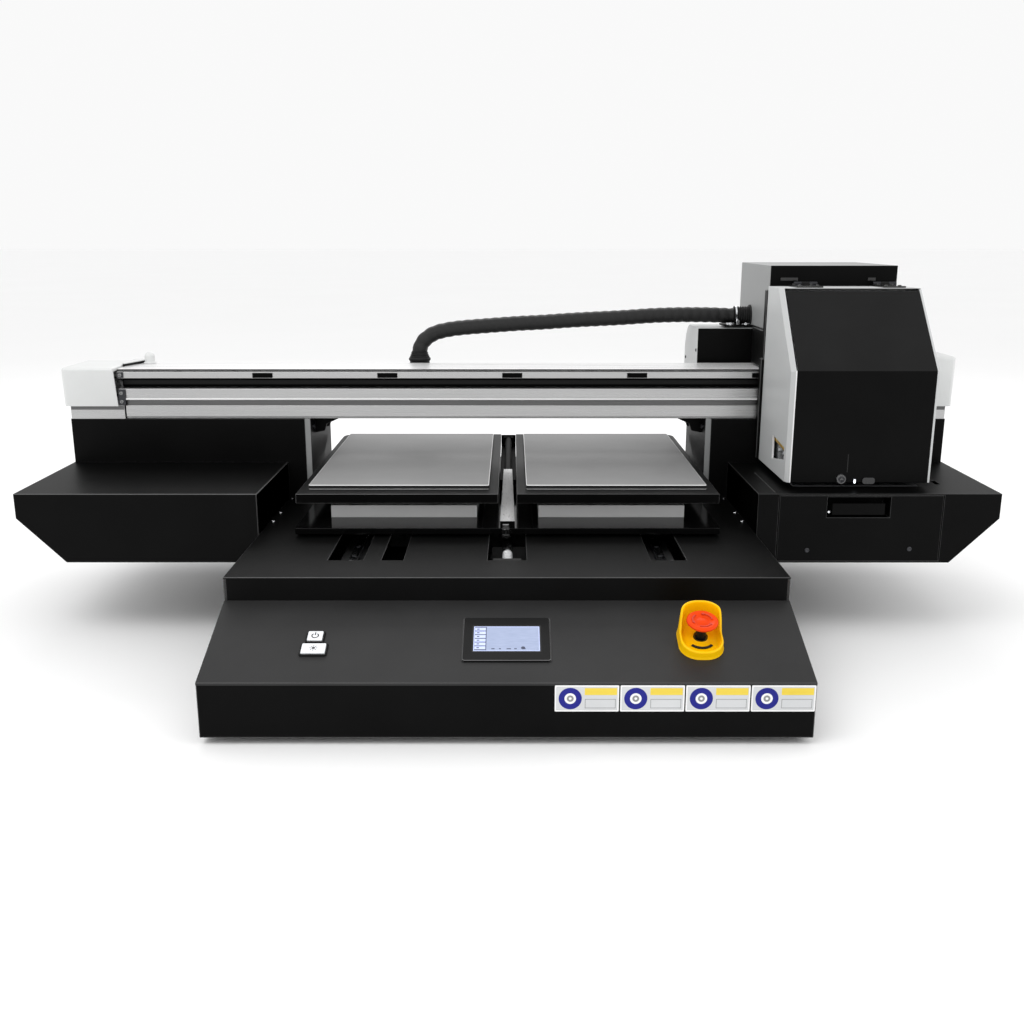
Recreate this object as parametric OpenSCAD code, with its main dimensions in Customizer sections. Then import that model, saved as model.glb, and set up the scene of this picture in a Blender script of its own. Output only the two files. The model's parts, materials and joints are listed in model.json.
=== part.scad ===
// Flatbed printer with two platens: a low base, two side shelves, a gantry beam with a
// print carriage parked at its right end, and a table that slides under the beam.
// X runs to the right, Y from front to back, Z up. The origin is on the floor, at the
// centre of the outline. Inside place(), Y is counted from the base's front face and
// Z from the base's underside.

/* [Base] */
// Width of the base housing
base_w = 944; // [940:1:948]
// Depth of the base housing, front to back
base_d = 1200; // [1200:1:1210]
// Height of the deck above the underside of the base
deck_z = 198; // [197.8:0.1:198.2]
// Height of the rubber feet
foot_h = 12; // [8:1:25]
// Thickness of the folded sheet
sheet_t = 4; // [3:0.5:4]

/* [Shelves] */
// Distance from the centre line to the outer edge of each shelf
shelf_x = 931; // [925:1:933]
// Height of the shelf top above the underside of the base
shelf_z = 277; // [276:0.5:277.5]
// Distance from the base's front face to the shelf's front
shelf_y = 454; // [450:1:456]

/* [Gantry] */
// Distance from the base's front face to the front of the beam
beam_y = 748; // [748:0.1:748.4]
// Front-to-back depth of the beam
beam_depth = 117; // [117:0.1:117.4]
// Half the length of the beam
beam_half = 822; // [821:0.5:822]

/* [Table] */
// Width of one platen pad
pad_w = 349; // [330:1:352]
// Length of one platen pad
pad_l = 558; // [450:1:560]
// Thickness of one platen pad
pad_t = 9; // [6:0.5:9]

/* [Carriage] */
// Width of the print carriage
carriage_w = 276; // [274:1:278]
// Position of the carriage's left side at rest
carriage_x = 531; // [528:1:533]
// Diameter of the sleeved hose
hose_d = 34; // [30:1:35]

/* [Controls] */
// Slope of the console, in degrees
console_a = 19.6; // [19.4:0.1:19.8]
// Diameter of the emergency stop's mushroom head
stop_d = 50; // [44:1:52]

/* [Hidden] */

$fn = 48;
hw = base_w / 2;
front_z = 91;                      // top of the front panel
console_y = 188;                   // back edge of the console
console_z = front_z + console_y * tan(console_a);
gap = 0.3;                         // clearance between parts on different bodies
label_t = 0.8;                     // thickness of the plates on the front panel

// shelves and supports
shelf_bottom = 142;
shelf_chamfer_z = 229;
shelf_chamfer_x = 843;
support_x0 = 432;
support_x1 = 928;
support_back = 1070;
support_top = 371;
plate_x0 = 420;

// drawer bay in the right shelf
bay_x0 = 511.5;
bay_x1 = 823.5;
bay_back = 760;
cap_x0 = 556;                      // opening for the capping station
cap_x1 = 790;
cap_y0 = 520;
cap_y1 = 730;

// beam, belt and rail
beam_z = support_top;
beam_top = 476;
cap_bottom = 399;                  // lower rim of the caps on the beam's ends
beam_back = beam_y + beam_depth;
rail_z = beam_z + 75;
belt_z = beam_z + 55;
belt_x = 868;
pulley_r = 18;
belt_y0 = beam_back - 16;
belt_w = 12;

// table
rail_x = 283;
rail_bottom = 160;
screw_z = 178;
screw_r = 10;
journal_r = 7;
table_z = 203;
table_x = 399;
table_y0 = 436;
table_y1 = 1110;
block_z = table_z + 12;
block_t = 24;
tray_x0 = 18;
tray_x1 = 403;
tray_y0 = 474;
tray_y1 = 1112;
tray_z = 254;
tray_top = 272;
post_r = 8;
posts_x = [100, 304];
posts_y = [600, 960];

// carriage
cx0 = carriage_x;
cx1 = carriage_x + carriage_w;
hood_bottom = 289.4;
hood_y = 494;
hood_back = 722;
hood_knee = 503;
hood_top_y = 628;
hood_top = 648;
hood_return = 10;                  // width of the shell's left front return
ink_x0 = 541;
ink_x1 = 803;
ink_y0 = 755;
ink_y1 = 1042;
ink_z = 556;
ink_top = 688;

// controls on the console: x and the distance u up the slope
screen_u = 100;
power_x = -305;
power_u = 104.5;
light_x = -303.5;
light_u = 74.5;
power_w = 30;
power_l = 28;
light_w = 44;
light_l = 29;
stop_x = 307;
stop_u = 96;

// route of the hose: up from its stand, then across to the ink box
hose_y = 930;
hose_z = 574;
hose_path = [[-198, 905, 484], [-198, 905, 494], [-195, 906, 508], [-185, 908, 523], [-163, 911, 537],
    [-130, 914, 545], [-95, 917, 549], [-40, 921, 553], [20, 924, 557], [80, 926, 560],
    [140, 928, 564], [200, 929, 567], [260, 930, 570], [320, 930, 574], [380, 930, 576],
    [440, 930, 576], [475, 930, 575], [492, 930, 574], [505, 930, 574]];

module place() { translate([0, -base_d / 2, foot_h]) children(); }
module both_sides() { children(); mirror([1, 0, 0]) children(); }
module box(x0, x1, y0, y1, z0, z1) { translate([x0, y0, z0]) cube([x1 - x0, y1 - y0, z1 - z0]); }
// An outline in Y and Z, extruded along X
module prism_x(x0, x1, pts) {
    translate([x0, 0, 0]) rotate([90, 0, 90]) linear_extrude(x1 - x0) polygon(pts);
}
// An outline in X and Z, extruded along Y
module prism_y(y0, y1, pts) {
    translate([0, y1, 0]) rotate([90, 0, 0]) linear_extrude(y1 - y0) polygon(pts);
}
module cyl_x(x0, x1, y, z, r) { translate([x0, y, z]) rotate([0, 90, 0]) cylinder(h = x1 - x0, r = r); }
module cyl_y(x, y0, y1, z, r) { translate([x, y1, z]) rotate([90, 0, 0]) cylinder(h = y1 - y0, r = r); }
module cyl_z(x, y, z0, z1, r) { translate([x, y, z0]) cylinder(h = z1 - z0, r = r); }
// Children stand on the console: local x across, y up the slope, z out of the panel
module on_console(x, u) {
    translate([x, 0, front_z]) rotate([console_a, 0, 0]) translate([0, u, 0]) children();
}
// A plate centred on its own origin
module plate(w, l, z0, z1) { translate([-w / 2, -l / 2, z0]) cube([w, l, z1 - z0]); }
// A plate with its four corners rounded
module round_plate(w, l, z0, z1, r) {
    translate([0, 0, z0]) linear_extrude(z1 - z0) union() {
        square([w - 2 * r, l], center = true);
        square([w, l - 2 * r], center = true);
        for (sx = [-1, 1], sy = [-1, 1]) translate([sx * (w / 2 - r), sy * (l / 2 - r)]) circle(r);
    }
}

// ---- base ----

module base_housing() {
    top = front_z - sheet_t / cos(console_a);
    color("#1b1b1c") place() difference() {
        prism_x(-hw, hw, [[0, 0], [0, top], [console_y, top + console_y * tan(console_a)],
            [console_y, deck_z - sheet_t], [base_d, deck_z - sheet_t], [base_d, 0]]);
        box(-hw + sheet_t, hw - sheet_t, sheet_t, base_d + 1, sheet_t, deck_z + 1);
    }
}

fan_x = 190;
fan_z = 90;
inlet_x = -200;
inlet_z = 80;

module rear_panel() {
    color("#1e1e1f") place() difference() {
        box(-hw + sheet_t, hw - sheet_t, base_d - sheet_t, base_d, sheet_t, deck_z - sheet_t);
        for (r = [12, 22, 32]) difference() {
            cyl_y(fan_x, base_d - sheet_t - 1, base_d + 1, fan_z, r + 3);
            cyl_y(fan_x, base_d - sheet_t - 2, base_d + 2, fan_z, r - 3);
            box(fan_x - 3, fan_x + 3, base_d - 9, base_d + 9, fan_z - 40, fan_z + 40);
            box(fan_x - 40, fan_x + 40, base_d - 9, base_d + 9, fan_z - 3, fan_z + 3);
        }
        box(inlet_x - 24, inlet_x + 24, base_d - 9, base_d + 1, inlet_z - 28, inlet_z + 28);
        for (i = [-3 : 3]) box(i * 14 - 3, i * 14 + 3, base_d - 9, base_d + 1, 60, 120);
    }
}

module console_panel() {
    holes = [[0, screen_u, 116, 76], [power_x, power_u, power_w - 2, power_l - 2],
        [light_x, light_u, light_w - 2, light_l - 2]];
    color("#2b2b2c") place() difference() {
        prism_x(-hw, hw, [[0, front_z - sheet_t / cos(console_a)], [0, front_z],
            [console_y, console_z], [console_y, console_z - sheet_t / cos(console_a)]]);
        for (h = holes) on_console(h[0], h[1]) plate(h[2] + 0.4, h[3] + 0.4, -9, 2);
        on_console(stop_x, stop_u) translate([0, 0, -9]) cylinder(h = 12, r = 11.2);
    }
}

module deck_cover() {
    color("#202021") place() difference() {
        union() {
            box(-hw, hw, console_y, base_d, deck_z - sheet_t, deck_z);
            box(-hw + sheet_t, hw - sheet_t, console_y, console_y + sheet_t,
                console_z - 4, deck_z - sheet_t);
        }
        for (s = [-1, 1]) box(s * rail_x - 31, s * rail_x + 31, 287, 1188, 190, deck_z + 1);
        box(-220, -182, 287, 1188, 190, deck_z + 1);
        box(-34, 34, 287, 1190, 190, deck_z + 1);
    }
}

module base_frame() {
    color("#3a3b3d") place() union() {
        for (s = [-1, 1]) {
            difference() {
                box(s * rail_x - 30, s * rail_x + 30, 215, 1190, 110, rail_bottom);
                box(s * rail_x - 26, s * rail_x + 26, 214, 1191, 114, rail_bottom - 4);
            }
            for (y = [230, 690, 1150]) box(s * rail_x - 20, s * rail_x + 20, y - 20, y + 20, sheet_t, 110);
        }
        for (y = [365, 690, 1115]) box(-rail_x + 30, rail_x - 30, y - 20, y + 20, 110, 150);
    }
}

module rubber_feet() {
    color("#101010") place()
        for (x = [-380, 380], y = [90, 600, 1110]) cyl_z(x, y, -foot_h, 0, 26);
}

module power_supply() {
    color("#a9abad") place() box(-180, -40, 980, 1100, sheet_t, 66);
}

module control_board() {
    color("#1f5a3a") place() union() {
        box(60, 230, 800, 960, 14, 16);
        for (x = [66, 224], y = [806, 954]) cyl_z(x, y, sheet_t, 14, 4);
        box(90, 130, 850, 890, 16, 20);
        for (i = [0 : 4]) box(150 + i * 14, 160 + i * 14, 930, 950, 16, 26);
        for (i = [0 : 3]) cyl_z(90 + i * 24, 826, 16, 32, 7);
    }
}

module rear_fan() {
    color("#151515") place() difference() {
        box(fan_x - 40, fan_x + 40, base_d - 31, base_d - sheet_t - 1, fan_z - 40, fan_z + 40);
        difference() {
            cyl_y(fan_x, base_d - 32, base_d, fan_z, 37);
            cyl_y(fan_x, base_d - 33, base_d + 1, fan_z, 14);
            for (a = [0 : 45 : 135]) translate([fan_x, base_d - 18, fan_z]) rotate([0, a, 0])
                cube([76, 12, 4], center = true);
        }
    }
}

module power_inlet() {
    color("#0e0e0e") place() difference() {
        box(inlet_x - 23.5, inlet_x + 23.5, base_d - 30, base_d + label_t, inlet_z - 27.5, inlet_z + 27.5);
        box(inlet_x - 13, inlet_x + 13, base_d - 20, base_d + 2, inlet_z - 22, inlet_z - 4);
        box(inlet_x - 10, inlet_x + 10, base_d - 3, base_d + 2, inlet_z + 6, inlet_z + 20);
    }
}

// ---- shelves and supports ----

shelf_outline = [[hw + 0.5, shelf_bottom], [shelf_chamfer_x, shelf_bottom], [shelf_x, shelf_chamfer_z],
    [shelf_x, shelf_z], [hw + 0.5, shelf_z]];

module left_shelf() {
    t = 3;
    color("#1d1d1e") place() mirror([1, 0, 0]) difference() {
        prism_y(shelf_y, support_back, shelf_outline);
        prism_y(shelf_y + t, support_back - t, [[hw, shelf_bottom + t],
            [shelf_chamfer_x - 1, shelf_bottom + t], [shelf_x - t, shelf_chamfer_z + 1],
            [shelf_x - t, shelf_z - t], [hw, shelf_z - t]]);
    }
}

module right_shelf() {
    t = 3;
    top = shelf_z - t;
    color("#1d1d1e") place() difference() {
        prism_y(shelf_y, support_back, shelf_outline);
        box(bay_x0, bay_x1, shelf_y - 1, bay_back, shelf_bottom + t, top);
        box(bay_x0, bay_x1, bay_back + t, support_back - t, shelf_bottom + t, top);
        box(hw, bay_x0 - t, shelf_y + t, support_back - t, shelf_bottom + t, top);
        prism_y(shelf_y + t, support_back - t, [[bay_x1 + t, shelf_bottom + t],
            [shelf_chamfer_x - 1, shelf_bottom + t], [shelf_x - t, shelf_chamfer_z + 1],
            [shelf_x - t, top], [bay_x1 + t, top]]);
        box(cap_x0, cap_x1, cap_y0, cap_y1, top - 1, shelf_z + 1);
        box(836, 846, 535, 571, top - 1, shelf_z + 1);
        box(cap_x0 - 52, cap_x0 - 49, shelf_y + 14, 640, shelf_z - 1, shelf_z + 1);
    }
}

// Fixed halves of the drawer's runners, on the walls of its bay
module drawer_runners() {
    color("#9a9c9e") place() for (x = [bay_x0, bay_x1 - 5])
        box(x, x + 5, shelf_y + 16, bay_back - 5, 174, 198);
}

module support_cover() {
    t = 3;
    difference() {
        union() {
            box(support_x0, support_x1, beam_y, support_back, shelf_z, support_top);
            box(support_x0, hw, beam_y, support_back, deck_z, shelf_z);
        }
        box(support_x0 + t, support_x1 - t, beam_y + t, support_back - t, shelf_z - 1, support_top - t);
        box(support_x0 + t, hw - t, beam_y + t, support_back - t, deck_z - 1, shelf_z);
    }
}

module support_covers() { color("#161617") place() both_sides() support_cover(); }

module side_plates() {
    color("#b0b2b3") place() both_sides()
        prism_x(plate_x0, support_x0, [[beam_y, deck_z], [beam_y, support_top], [985, support_top],
            [985, 310], [905, 268], [880, deck_z]]);
}

module beam_brackets() {
    color("#101011") place() both_sides()
        for (y = [800, 860]) prism_y(y, y + 10, [[plate_x0, support_top], [368, support_top],
            [368, 363], [394, 351], [399, 336], [plate_x0, 332]]);
}

// ---- gantry ----

module beam() {
    z = beam_z;
    y = beam_y;
    b = beam_back;
    color("#c3c5c6") place() difference() {
        prism_x(-beam_half, beam_half, [[y + 3, z], [b, z], [b, z + 25], [b - 22, z + 25],
            [b - 22, z + 85], [b, z + 85], [b, z + 102], [y + 8, z + 102], [y + 8, z + 99.5],
            [y, z + 99.5], [y, z + 85.5], [y + 30, z + 85.5], [y + 30, z + 64], [y, z + 64],
            [y, z + 44], [y - 2.5, z + 44], [y - 2.5, z + 40], [y + 4, z + 40], [y + 4, z + 28.5],
            [y, z + 28.5], [y, z + 4], [y + 3, z + 4]]);
        box(-900, 900, y + 12, b - 30, z + 8, z + 56);
        box(-900, 900, y + 38, b - 30, z + 65, z + 94);
        both_sides() box(809, 830, y - 9, b + 9, z - 1, z + 32);
    }
}

module beam_top_cover() {
    color("#d6d8d9") place() box(-beam_half, beam_half, beam_y, beam_back, beam_top - 3, beam_top);
}

module beam_rail() {
    color("#2c2d2f") place()
        box(-beam_half + 4, beam_half - 4, beam_y + 22, beam_y + 30, rail_z - 5, rail_z + 5);
}

module beam_clips() {
    color("#0c0c0c") place() for (i = [-2 : 3])
        box(9 + i * 262.5 - 21, 9 + i * 262.5 + 21, beam_y - 2.5, beam_y, 458, 468);
}

// Blocks beyond the beam's ends; the left one carries the pin of the idler pulley
module end_blocks() {
    color("#bfc1c2") place() union() {
        both_sides() {
            box(812, 926, beam_y, beam_back, beam_z, beam_z + 32);
            box(belt_x - 20, belt_x + 20, beam_back, beam_back + 6, beam_z, belt_z + 16);
        }
        cyl_y(-belt_x, belt_y0 - 3, beam_back + 1, belt_z, 4);
    }
}

module end_cap(top) {
    t = 3;
    difference() {
        box(822, 936, 738, 886, cap_bottom, top);
        box(821, 936 - t, 738 + t, 886 - t, cap_bottom - 1, top - t);
    }
}

module end_cap_left() {
    color("#dcdddd") place() mirror([1, 0, 0]) union() {
        end_cap(480);
        ramp = [[826, 800], [822, 800], [797, 880], [826, 880]];
        translate([0, 0, beam_top + gap]) linear_extrude(7) polygon(ramp);
    }
}

module end_cap_right() { color("#dcdddd") place() end_cap(503); }

module tension_knob() {
    color("#e2e3e3") place() union() {
        cyl_z(-786, 856, beam_top, beam_top + 14, 11);
        translate([-786, 856, beam_top + 14]) sphere(11);
    }
}

module x_motor() {
    color("#222325") place() difference() {
        box(belt_x - 21, belt_x + 21, belt_y0 - 50, belt_y0 - 8, beam_z + 32, belt_z + 21);
        cyl_y(belt_x, belt_y0 - 30, belt_y0, belt_z, 4.05);
    }
}

// Toothed pulley on its own shaft, along Y
module x_drive_pulley() {
    color("#d5d6d8") place() union() {
        cyl_y(belt_x, belt_y0 - 1, belt_y0 + belt_w + 1, belt_z, pulley_r);
        cyl_y(belt_x, belt_y0 - 28, belt_y0 - 1, belt_z, 4);
    }
}

module x_idler_pulley() {
    color("#d5d6d8") place() difference() {
        cyl_y(-belt_x, belt_y0 - 1, belt_y0 + belt_w + 1, belt_z, pulley_r);
        cyl_y(-belt_x, belt_y0 - 2, belt_y0 + belt_w + 2, belt_z, 4.05);
    }
}

module belt_loop(r, grow) {
    for (s = [-1, 1]) cyl_y(s * belt_x, belt_y0 - grow, belt_y0 + belt_w + grow, belt_z, r);
    box(-belt_x, belt_x, belt_y0 - grow, belt_y0 + belt_w + grow, belt_z - r, belt_z + r);
}

module x_belt() {
    color("#141414") place() difference() {
        belt_loop(pulley_r + 2.3, 0);
        belt_loop(pulley_r + 0.3, 1);
    }
}

module rear_cover() {
    t = 2;
    color("#b4b6b7") place() difference() {
        union() {
            box(plate_x0, 900, 889, 1000, support_top, 549);
            box(plate_x0, 900, 1000, 1066, support_top, 483);
            intersection() {
                cyl_x(plate_x0, 900, 1000, 483, 66);
                box(plate_x0, 900, 1000, 1066, 483, 549);
            }
        }
        box(plate_x0 + t, 900 - t, 889 + t, 1000, support_top - 1, 549 - t);
        box(plate_x0 + t, 900 - t, 999, 1066 - t, support_top - 1, 483);
        intersection() {
            cyl_x(plate_x0 + t, 900 - t, 1000, 483, 66 - t);
            box(plate_x0, 900, 999, 1066, 482, 549);
        }
    }
}

// Angle behind the beam that carries the strain relief of the hose
module hose_stand() {
    color("#121212") place() union() {
        box(-224, -172, beam_back, 930, beam_z + 2, beam_z + 8);
        cyl_z(-198, 905, beam_z + 8, 450, 19);
        cyl_z(-198, 905, 450, 484, 22);
    }
}

// ---- table drive ----

module y_rails() {
    color("#c9cbcd") place() for (s = [-1, 1]) union() {
        box(s * rail_x - 7.5, s * rail_x + 7.5, 290, 1190, rail_bottom, rail_bottom + 4);
        box(s * rail_x - 5.5, s * rail_x + 5.5, 290, 1190, rail_bottom + 4, rail_bottom + 9);
        box(s * rail_x - 7.5, s * rail_x + 7.5, 290, 1190, rail_bottom + 9, rail_bottom + 15);
    }
}

module screw_bearings() {
    color("#28292b") place() for (y = [300, 1100]) difference() {
        box(-25, 25, y, y + 24, 150, 190);
        cyl_y(0, y - 1, y + 25, screw_z, journal_r + 0.05);
    }
}

// Ball screw along Y; its journals, ribbed collar and thread turn as one
module drive_screw() {
    color("#cfd1d3") place() union() {
        cyl_y(0, 292, 330, screw_z, journal_r);
        cyl_y(0, 330, 390, screw_z, 9.5);
        cyl_y(0, 390, 1096, screw_z, screw_r);
        cyl_y(0, 1096, 1138, screw_z, journal_r);
    }
}

module y_motor() {
    color("#222325") place() difference() {
        box(-21, 21, 1124, 1186, screw_z - 21, screw_z + 21);
        cyl_y(0, 1123, 1140, screw_z, journal_r + 0.05);
    }
}

// ---- controls ----

module touchscreen() {
    color("#0d0d0e") place() on_console(0, screen_u) difference() {
        union() {
            round_plate(141, 106, 0, 3, 5);
            plate(116, 76, -28, 0);
        }
        plate(106, 60, 1, 4);
    }
}

module screen_glass() {
    color("#b8c6e8") place() on_console(0, screen_u) plate(105.4, 59.4, 1, 2.4);
}

module button_rim(x, u, w, l) {
    on_console(x, u) difference() {
        union() {
            round_plate(w, l, 0, 3, 3);
            plate(w - 2, l - 2, -20, 0);
        }
        plate(w - 5, l - 5, -16, 4);
    }
}

module button_rims() {
    color("#141414") place() union() {
        button_rim(power_x, power_u, power_w, power_l);
        button_rim(light_x, light_u, light_w, light_l);
    }
}

module button_cap(x, u, w, l) { on_console(x, u) plate(w - 5 - 2 * gap, l - 5 - 2 * gap, -8, 5); }
module power_button() { color("#e6e8ea") place() button_cap(power_x, power_u, power_w, power_l); }
module light_button() { color("#e6e8ea") place() button_cap(light_x, light_u, light_w, light_l); }

module stop_shroud() {
    color("#ffb800") place() on_console(stop_x, stop_u) difference() {
        union() {
            round_plate(71, 88, 0, 14, 30);
            translate([0, 6, 0]) difference() {
                round_plate(67, 76, 14, 52, 30);
                round_plate(58, 66, 13, 53, 27);
                translate([0, 2, 0]) plate(90, 16, 34, 53);
                translate([0, -30, 0]) plate(90, 48, 18, 53);
            }
            translate([0, 0, -30]) cylinder(h = 30, r = 11);
        }
        translate([0, 0, -31]) cylinder(h = 60, r = 8.3);
    }
}

module stop_stem() {
    color("#3a3a3a") place() on_console(stop_x, stop_u) union() {
        translate([0, 0, -24]) cylinder(h = 54, r = 8);
        translate([0, 0, 30]) cylinder(h = 10, r = 6);
    }
}

module stop_head() {
    color("#f4441c") place() on_console(stop_x, stop_u) difference() {
        union() {
            translate([0, 0, 30.3]) cylinder(h = 9.7, r1 = 16, r2 = stop_d / 2);
            translate([0, 0, 40]) cylinder(h = 5, r1 = stop_d / 2, r2 = stop_d / 2 - 5);
        }
        translate([0, 0, 25]) cylinder(h = 15.3, r = 6.05);
    }
}

module label_plates() {
    color("#d9dcdd") place() for (i = [0 : 3])
        box(73.5 + i * 99.7, 73.5 + i * 99.7 + 97.7, -label_t, 0, 44.6, 87.3);
}

// ---- right shelf contents ----

module capping_station() {
    color("#3b3d40") place() union() {
        box(cap_x0 - 4, cap_x1 + 4, cap_y0 - 4, cap_y1 + 4, shelf_z, shelf_z + 2);
        difference() {
            box(cap_x0 + 1, cap_x1 - 1, cap_y0 + 1, cap_y1 - 1, 238, shelf_z);
            box(cap_x0 + 5, cap_x1 - 5, cap_y0 + 5, cap_y1 - 5, 242, shelf_z - 4);
        }
        for (i = [0 : 2]) box(590 + i * 62, 632 + i * 62, 560, 660, shelf_z + 2, 284);
        box(590, 756, 690, 696, shelf_z + 2, 285);
    }
}

// Front, handle cup, tray and sliding runners
module drawer() {
    t = 3;
    color("#1a1a1b") place() difference() {
        union() {
            box(bay_x0 + 2, bay_x1 - 2, shelf_y, shelf_y + 8, shelf_bottom + 3.5, shelf_z - 3.5);
            box(600, 726, shelf_y + 8, 500, 228, shelf_z - 3.5);
            box(522, 813, shelf_y + 8, 745, 153, 228);
            for (x = [517, 813]) box(x, x + 5, 480, 745, 176, 196);
        }
        box(603, 723, shelf_y - 1, 497, 231, shelf_z - 6);
        box(522 + t, 813 - t, shelf_y + 8 + t, 745 - t, 156, 229);
    }
}

module waste_bottle() {
    color("#d8dad6") place() union() {
        box(535, 655, 520, 715, 156, 212);
        cyl_z(595, 560, 212, 222, 17);
    }
}

// ---- table ----

// Moving plate on four rail blocks, with the nut of the drive screw under it
module table() {
    color("#1c1c1d") place() union() {
        box(-table_x, table_x, table_y0, table_y1, table_z, block_z);
        for (s = [-1, 1], y = [690, 1030]) difference() {
            union() {
                box(s * rail_x - 23, s * rail_x + 23, y, y + 60, rail_bottom + 3, 184);
                box(s * rail_x - 20, s * rail_x + 20, y + 4, y + 56, 184, table_z);
            }
            box(s * rail_x - 7.8, s * rail_x + 7.8, y - 1, y + 61, rail_bottom, rail_bottom + 15.3);
        }
        difference() {
            box(-26, 26, 780, 840, 160, table_z);
            cyl_y(0, 779, 841, screw_z, screw_r + 0.05);
        }
    }
}

// Aluminium blocks that guide the platens' lifting posts
module guide_blocks() {
    color("#b9bbbc") place() both_sides() difference() {
        box(60, 344, 518, 1040, block_z, block_z + block_t);
        for (x = posts_x, y = posts_y) cyl_z(x, y, block_z - 1, block_z + block_t + 1, post_r + 0.1);
    }
}

// Tapered bar between the platens, and the bright rod behind it
module centre_bar() {
    color("#c6c8c9") place() union() {
        intersection() {
            prism_x(-20, 20, [[440, block_z], [440, 228], [720, 268], [720, block_z]]);
            translate([0, 0, block_z]) linear_extrude(60)
                polygon([[-14, 440], [14, 440], [9, 720], [-9, 720]]);
        }
        cyl_y(0, 720, 1090, 260, 7.5);
        box(-12, 12, 1090, 1102, block_z, 268);
    }
}

module tray_outline(r_front, r_back) {
    w = tray_x1 - tray_x0;
    difference() {
        translate([tray_x0, tray_y0]) square([w, tray_y1 - tray_y0]);
        translate([tray_x1 - r_back, tray_y1 - r_back]) square(r_back + 1);
    }
    translate([tray_x1 - r_back, tray_y1 - r_back]) circle(r_back);
}

// Tray, its lifting plate and four posts
module platen() {
    translate([0, 0, tray_z]) linear_extrude(tray_top - tray_z) tray_outline(4, 32);
    box(50, 354, 530, 1030, block_z + block_t + gap, tray_z);
    for (x = posts_x, y = posts_y) cyl_z(x, y, block_z + 3, tray_z, post_r);
}

module platen_left() { color("#232324") place() mirror([1, 0, 0]) platen(); }
module platen_right() { color("#232324") place() platen(); }

module pad() {
    x = (tray_x0 + tray_x1) / 2;
    translate([x, 512 + pad_l / 2, tray_top]) round_plate(pad_w, pad_l, 0, pad_t, 4);
}

module pads_left() { color("#8a8a8a") place() mirror([1, 0, 0]) pad(); }
module pads_right() { color("#8a8a8a") place() pad(); }

// ---- carriage ----

// Plate behind the hood, bridge over the beam, rail shoes and belt grip
module carriage_frame() {
    color("#131314") place() difference() {
        union() {
            box(cx0 - 6, cx1 + 6, 724, 742, 292, 500);
            box(cx0 - 2, cx1 + 2, 724, 742, 500, 640);
            box(cx0, cx1, 742, 850, beam_top + 4, ink_z);
            box(cx0 + 8, cx1 - 8, 505, 724, 292, 298);
            for (x = [cx0 + 30, cx1 - 80]) box(x, x + 50, 742, beam_y + 26, rail_z - 8.5, rail_z + 8.5);
            box(650, 690, beam_back + 1, beam_back + 9, 436, ink_z);
            box(650, 690, 850, beam_back + 9, 540, ink_z);
            box(650, 690, beam_back - 19, beam_back + 1, 436, 454);
        }
        for (x = [cx0 + 29, cx1 - 81])
            box(x, x + 52, beam_y + 21.7, beam_y + 27, rail_z - 5.3, rail_z + 5.3);
        box(649, 691, belt_y0 - 4, belt_y0 + belt_w + 0.5, 443.8, 446.8);
        for (i = [0 : 2]) box(589 + i * 62, 633 + i * 62, 569, 651, 291, 299);
    }
}

module print_heads() {
    color("#56585b") place() for (i = [0 : 2]) union() {
        box(590 + i * 62, 632 + i * 62, 570, 650, 289.8, 298);
        box(586 + i * 62, 636 + i * 62, 562, 658, 298, 352);
        box(598 + i * 62, 624 + i * 62, 590, 630, 352, 400);
    }
}

hinge_y = 748;
hinge_z = 652;
hinges_x = [612, 775];

// Fixed knuckles and pins of the hood's two hinges
module hood_hinges() {
    color("#0f0f10") place() for (x = hinges_x) union() {
        for (s = [-1, 1]) {
            x0 = s < 0 ? x - 24 : x + 8 + gap;
            box(x0, x0 + 16 - gap, hinge_y, ink_y0, hinge_z - 2, hinge_z + 2);
            cyl_x(x0, x0 + 16 - gap, hinge_y, hinge_z, 4.5);
        }
        cyl_x(x - 24, x + 24, hinge_y, hinge_z, 2);
    }
}

// Closed box over the beam's back that holds the ink, with its black lower tray and gland
module ink_box() {
    t = 3;
    color("#a4a6a7") place() union() {
        difference() {
            box(ink_x0, ink_x1, ink_y0, ink_y1, ink_z, ink_top);
            box(ink_x0 + t, ink_x1 - t, ink_y0 + t, ink_y1 - t, ink_z + t, ink_top - t);
        }
        cyl_x(505, ink_x0, hose_y, hose_z, 20);
        box(478, ink_x0 + 20, hose_y - 34, hose_y + 26, 552, ink_z);
        for (i = [0 : 3]) box(566 + i * 56, 612 + i * 56, 800, 1000, ink_z + t, ink_z + 78);
    }
}

hood_side = [[hood_y, hood_bottom], [hood_y, hood_knee], [hood_top_y, hood_top],
    [hood_back, hood_top], [hood_back, hood_bottom]];

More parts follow.
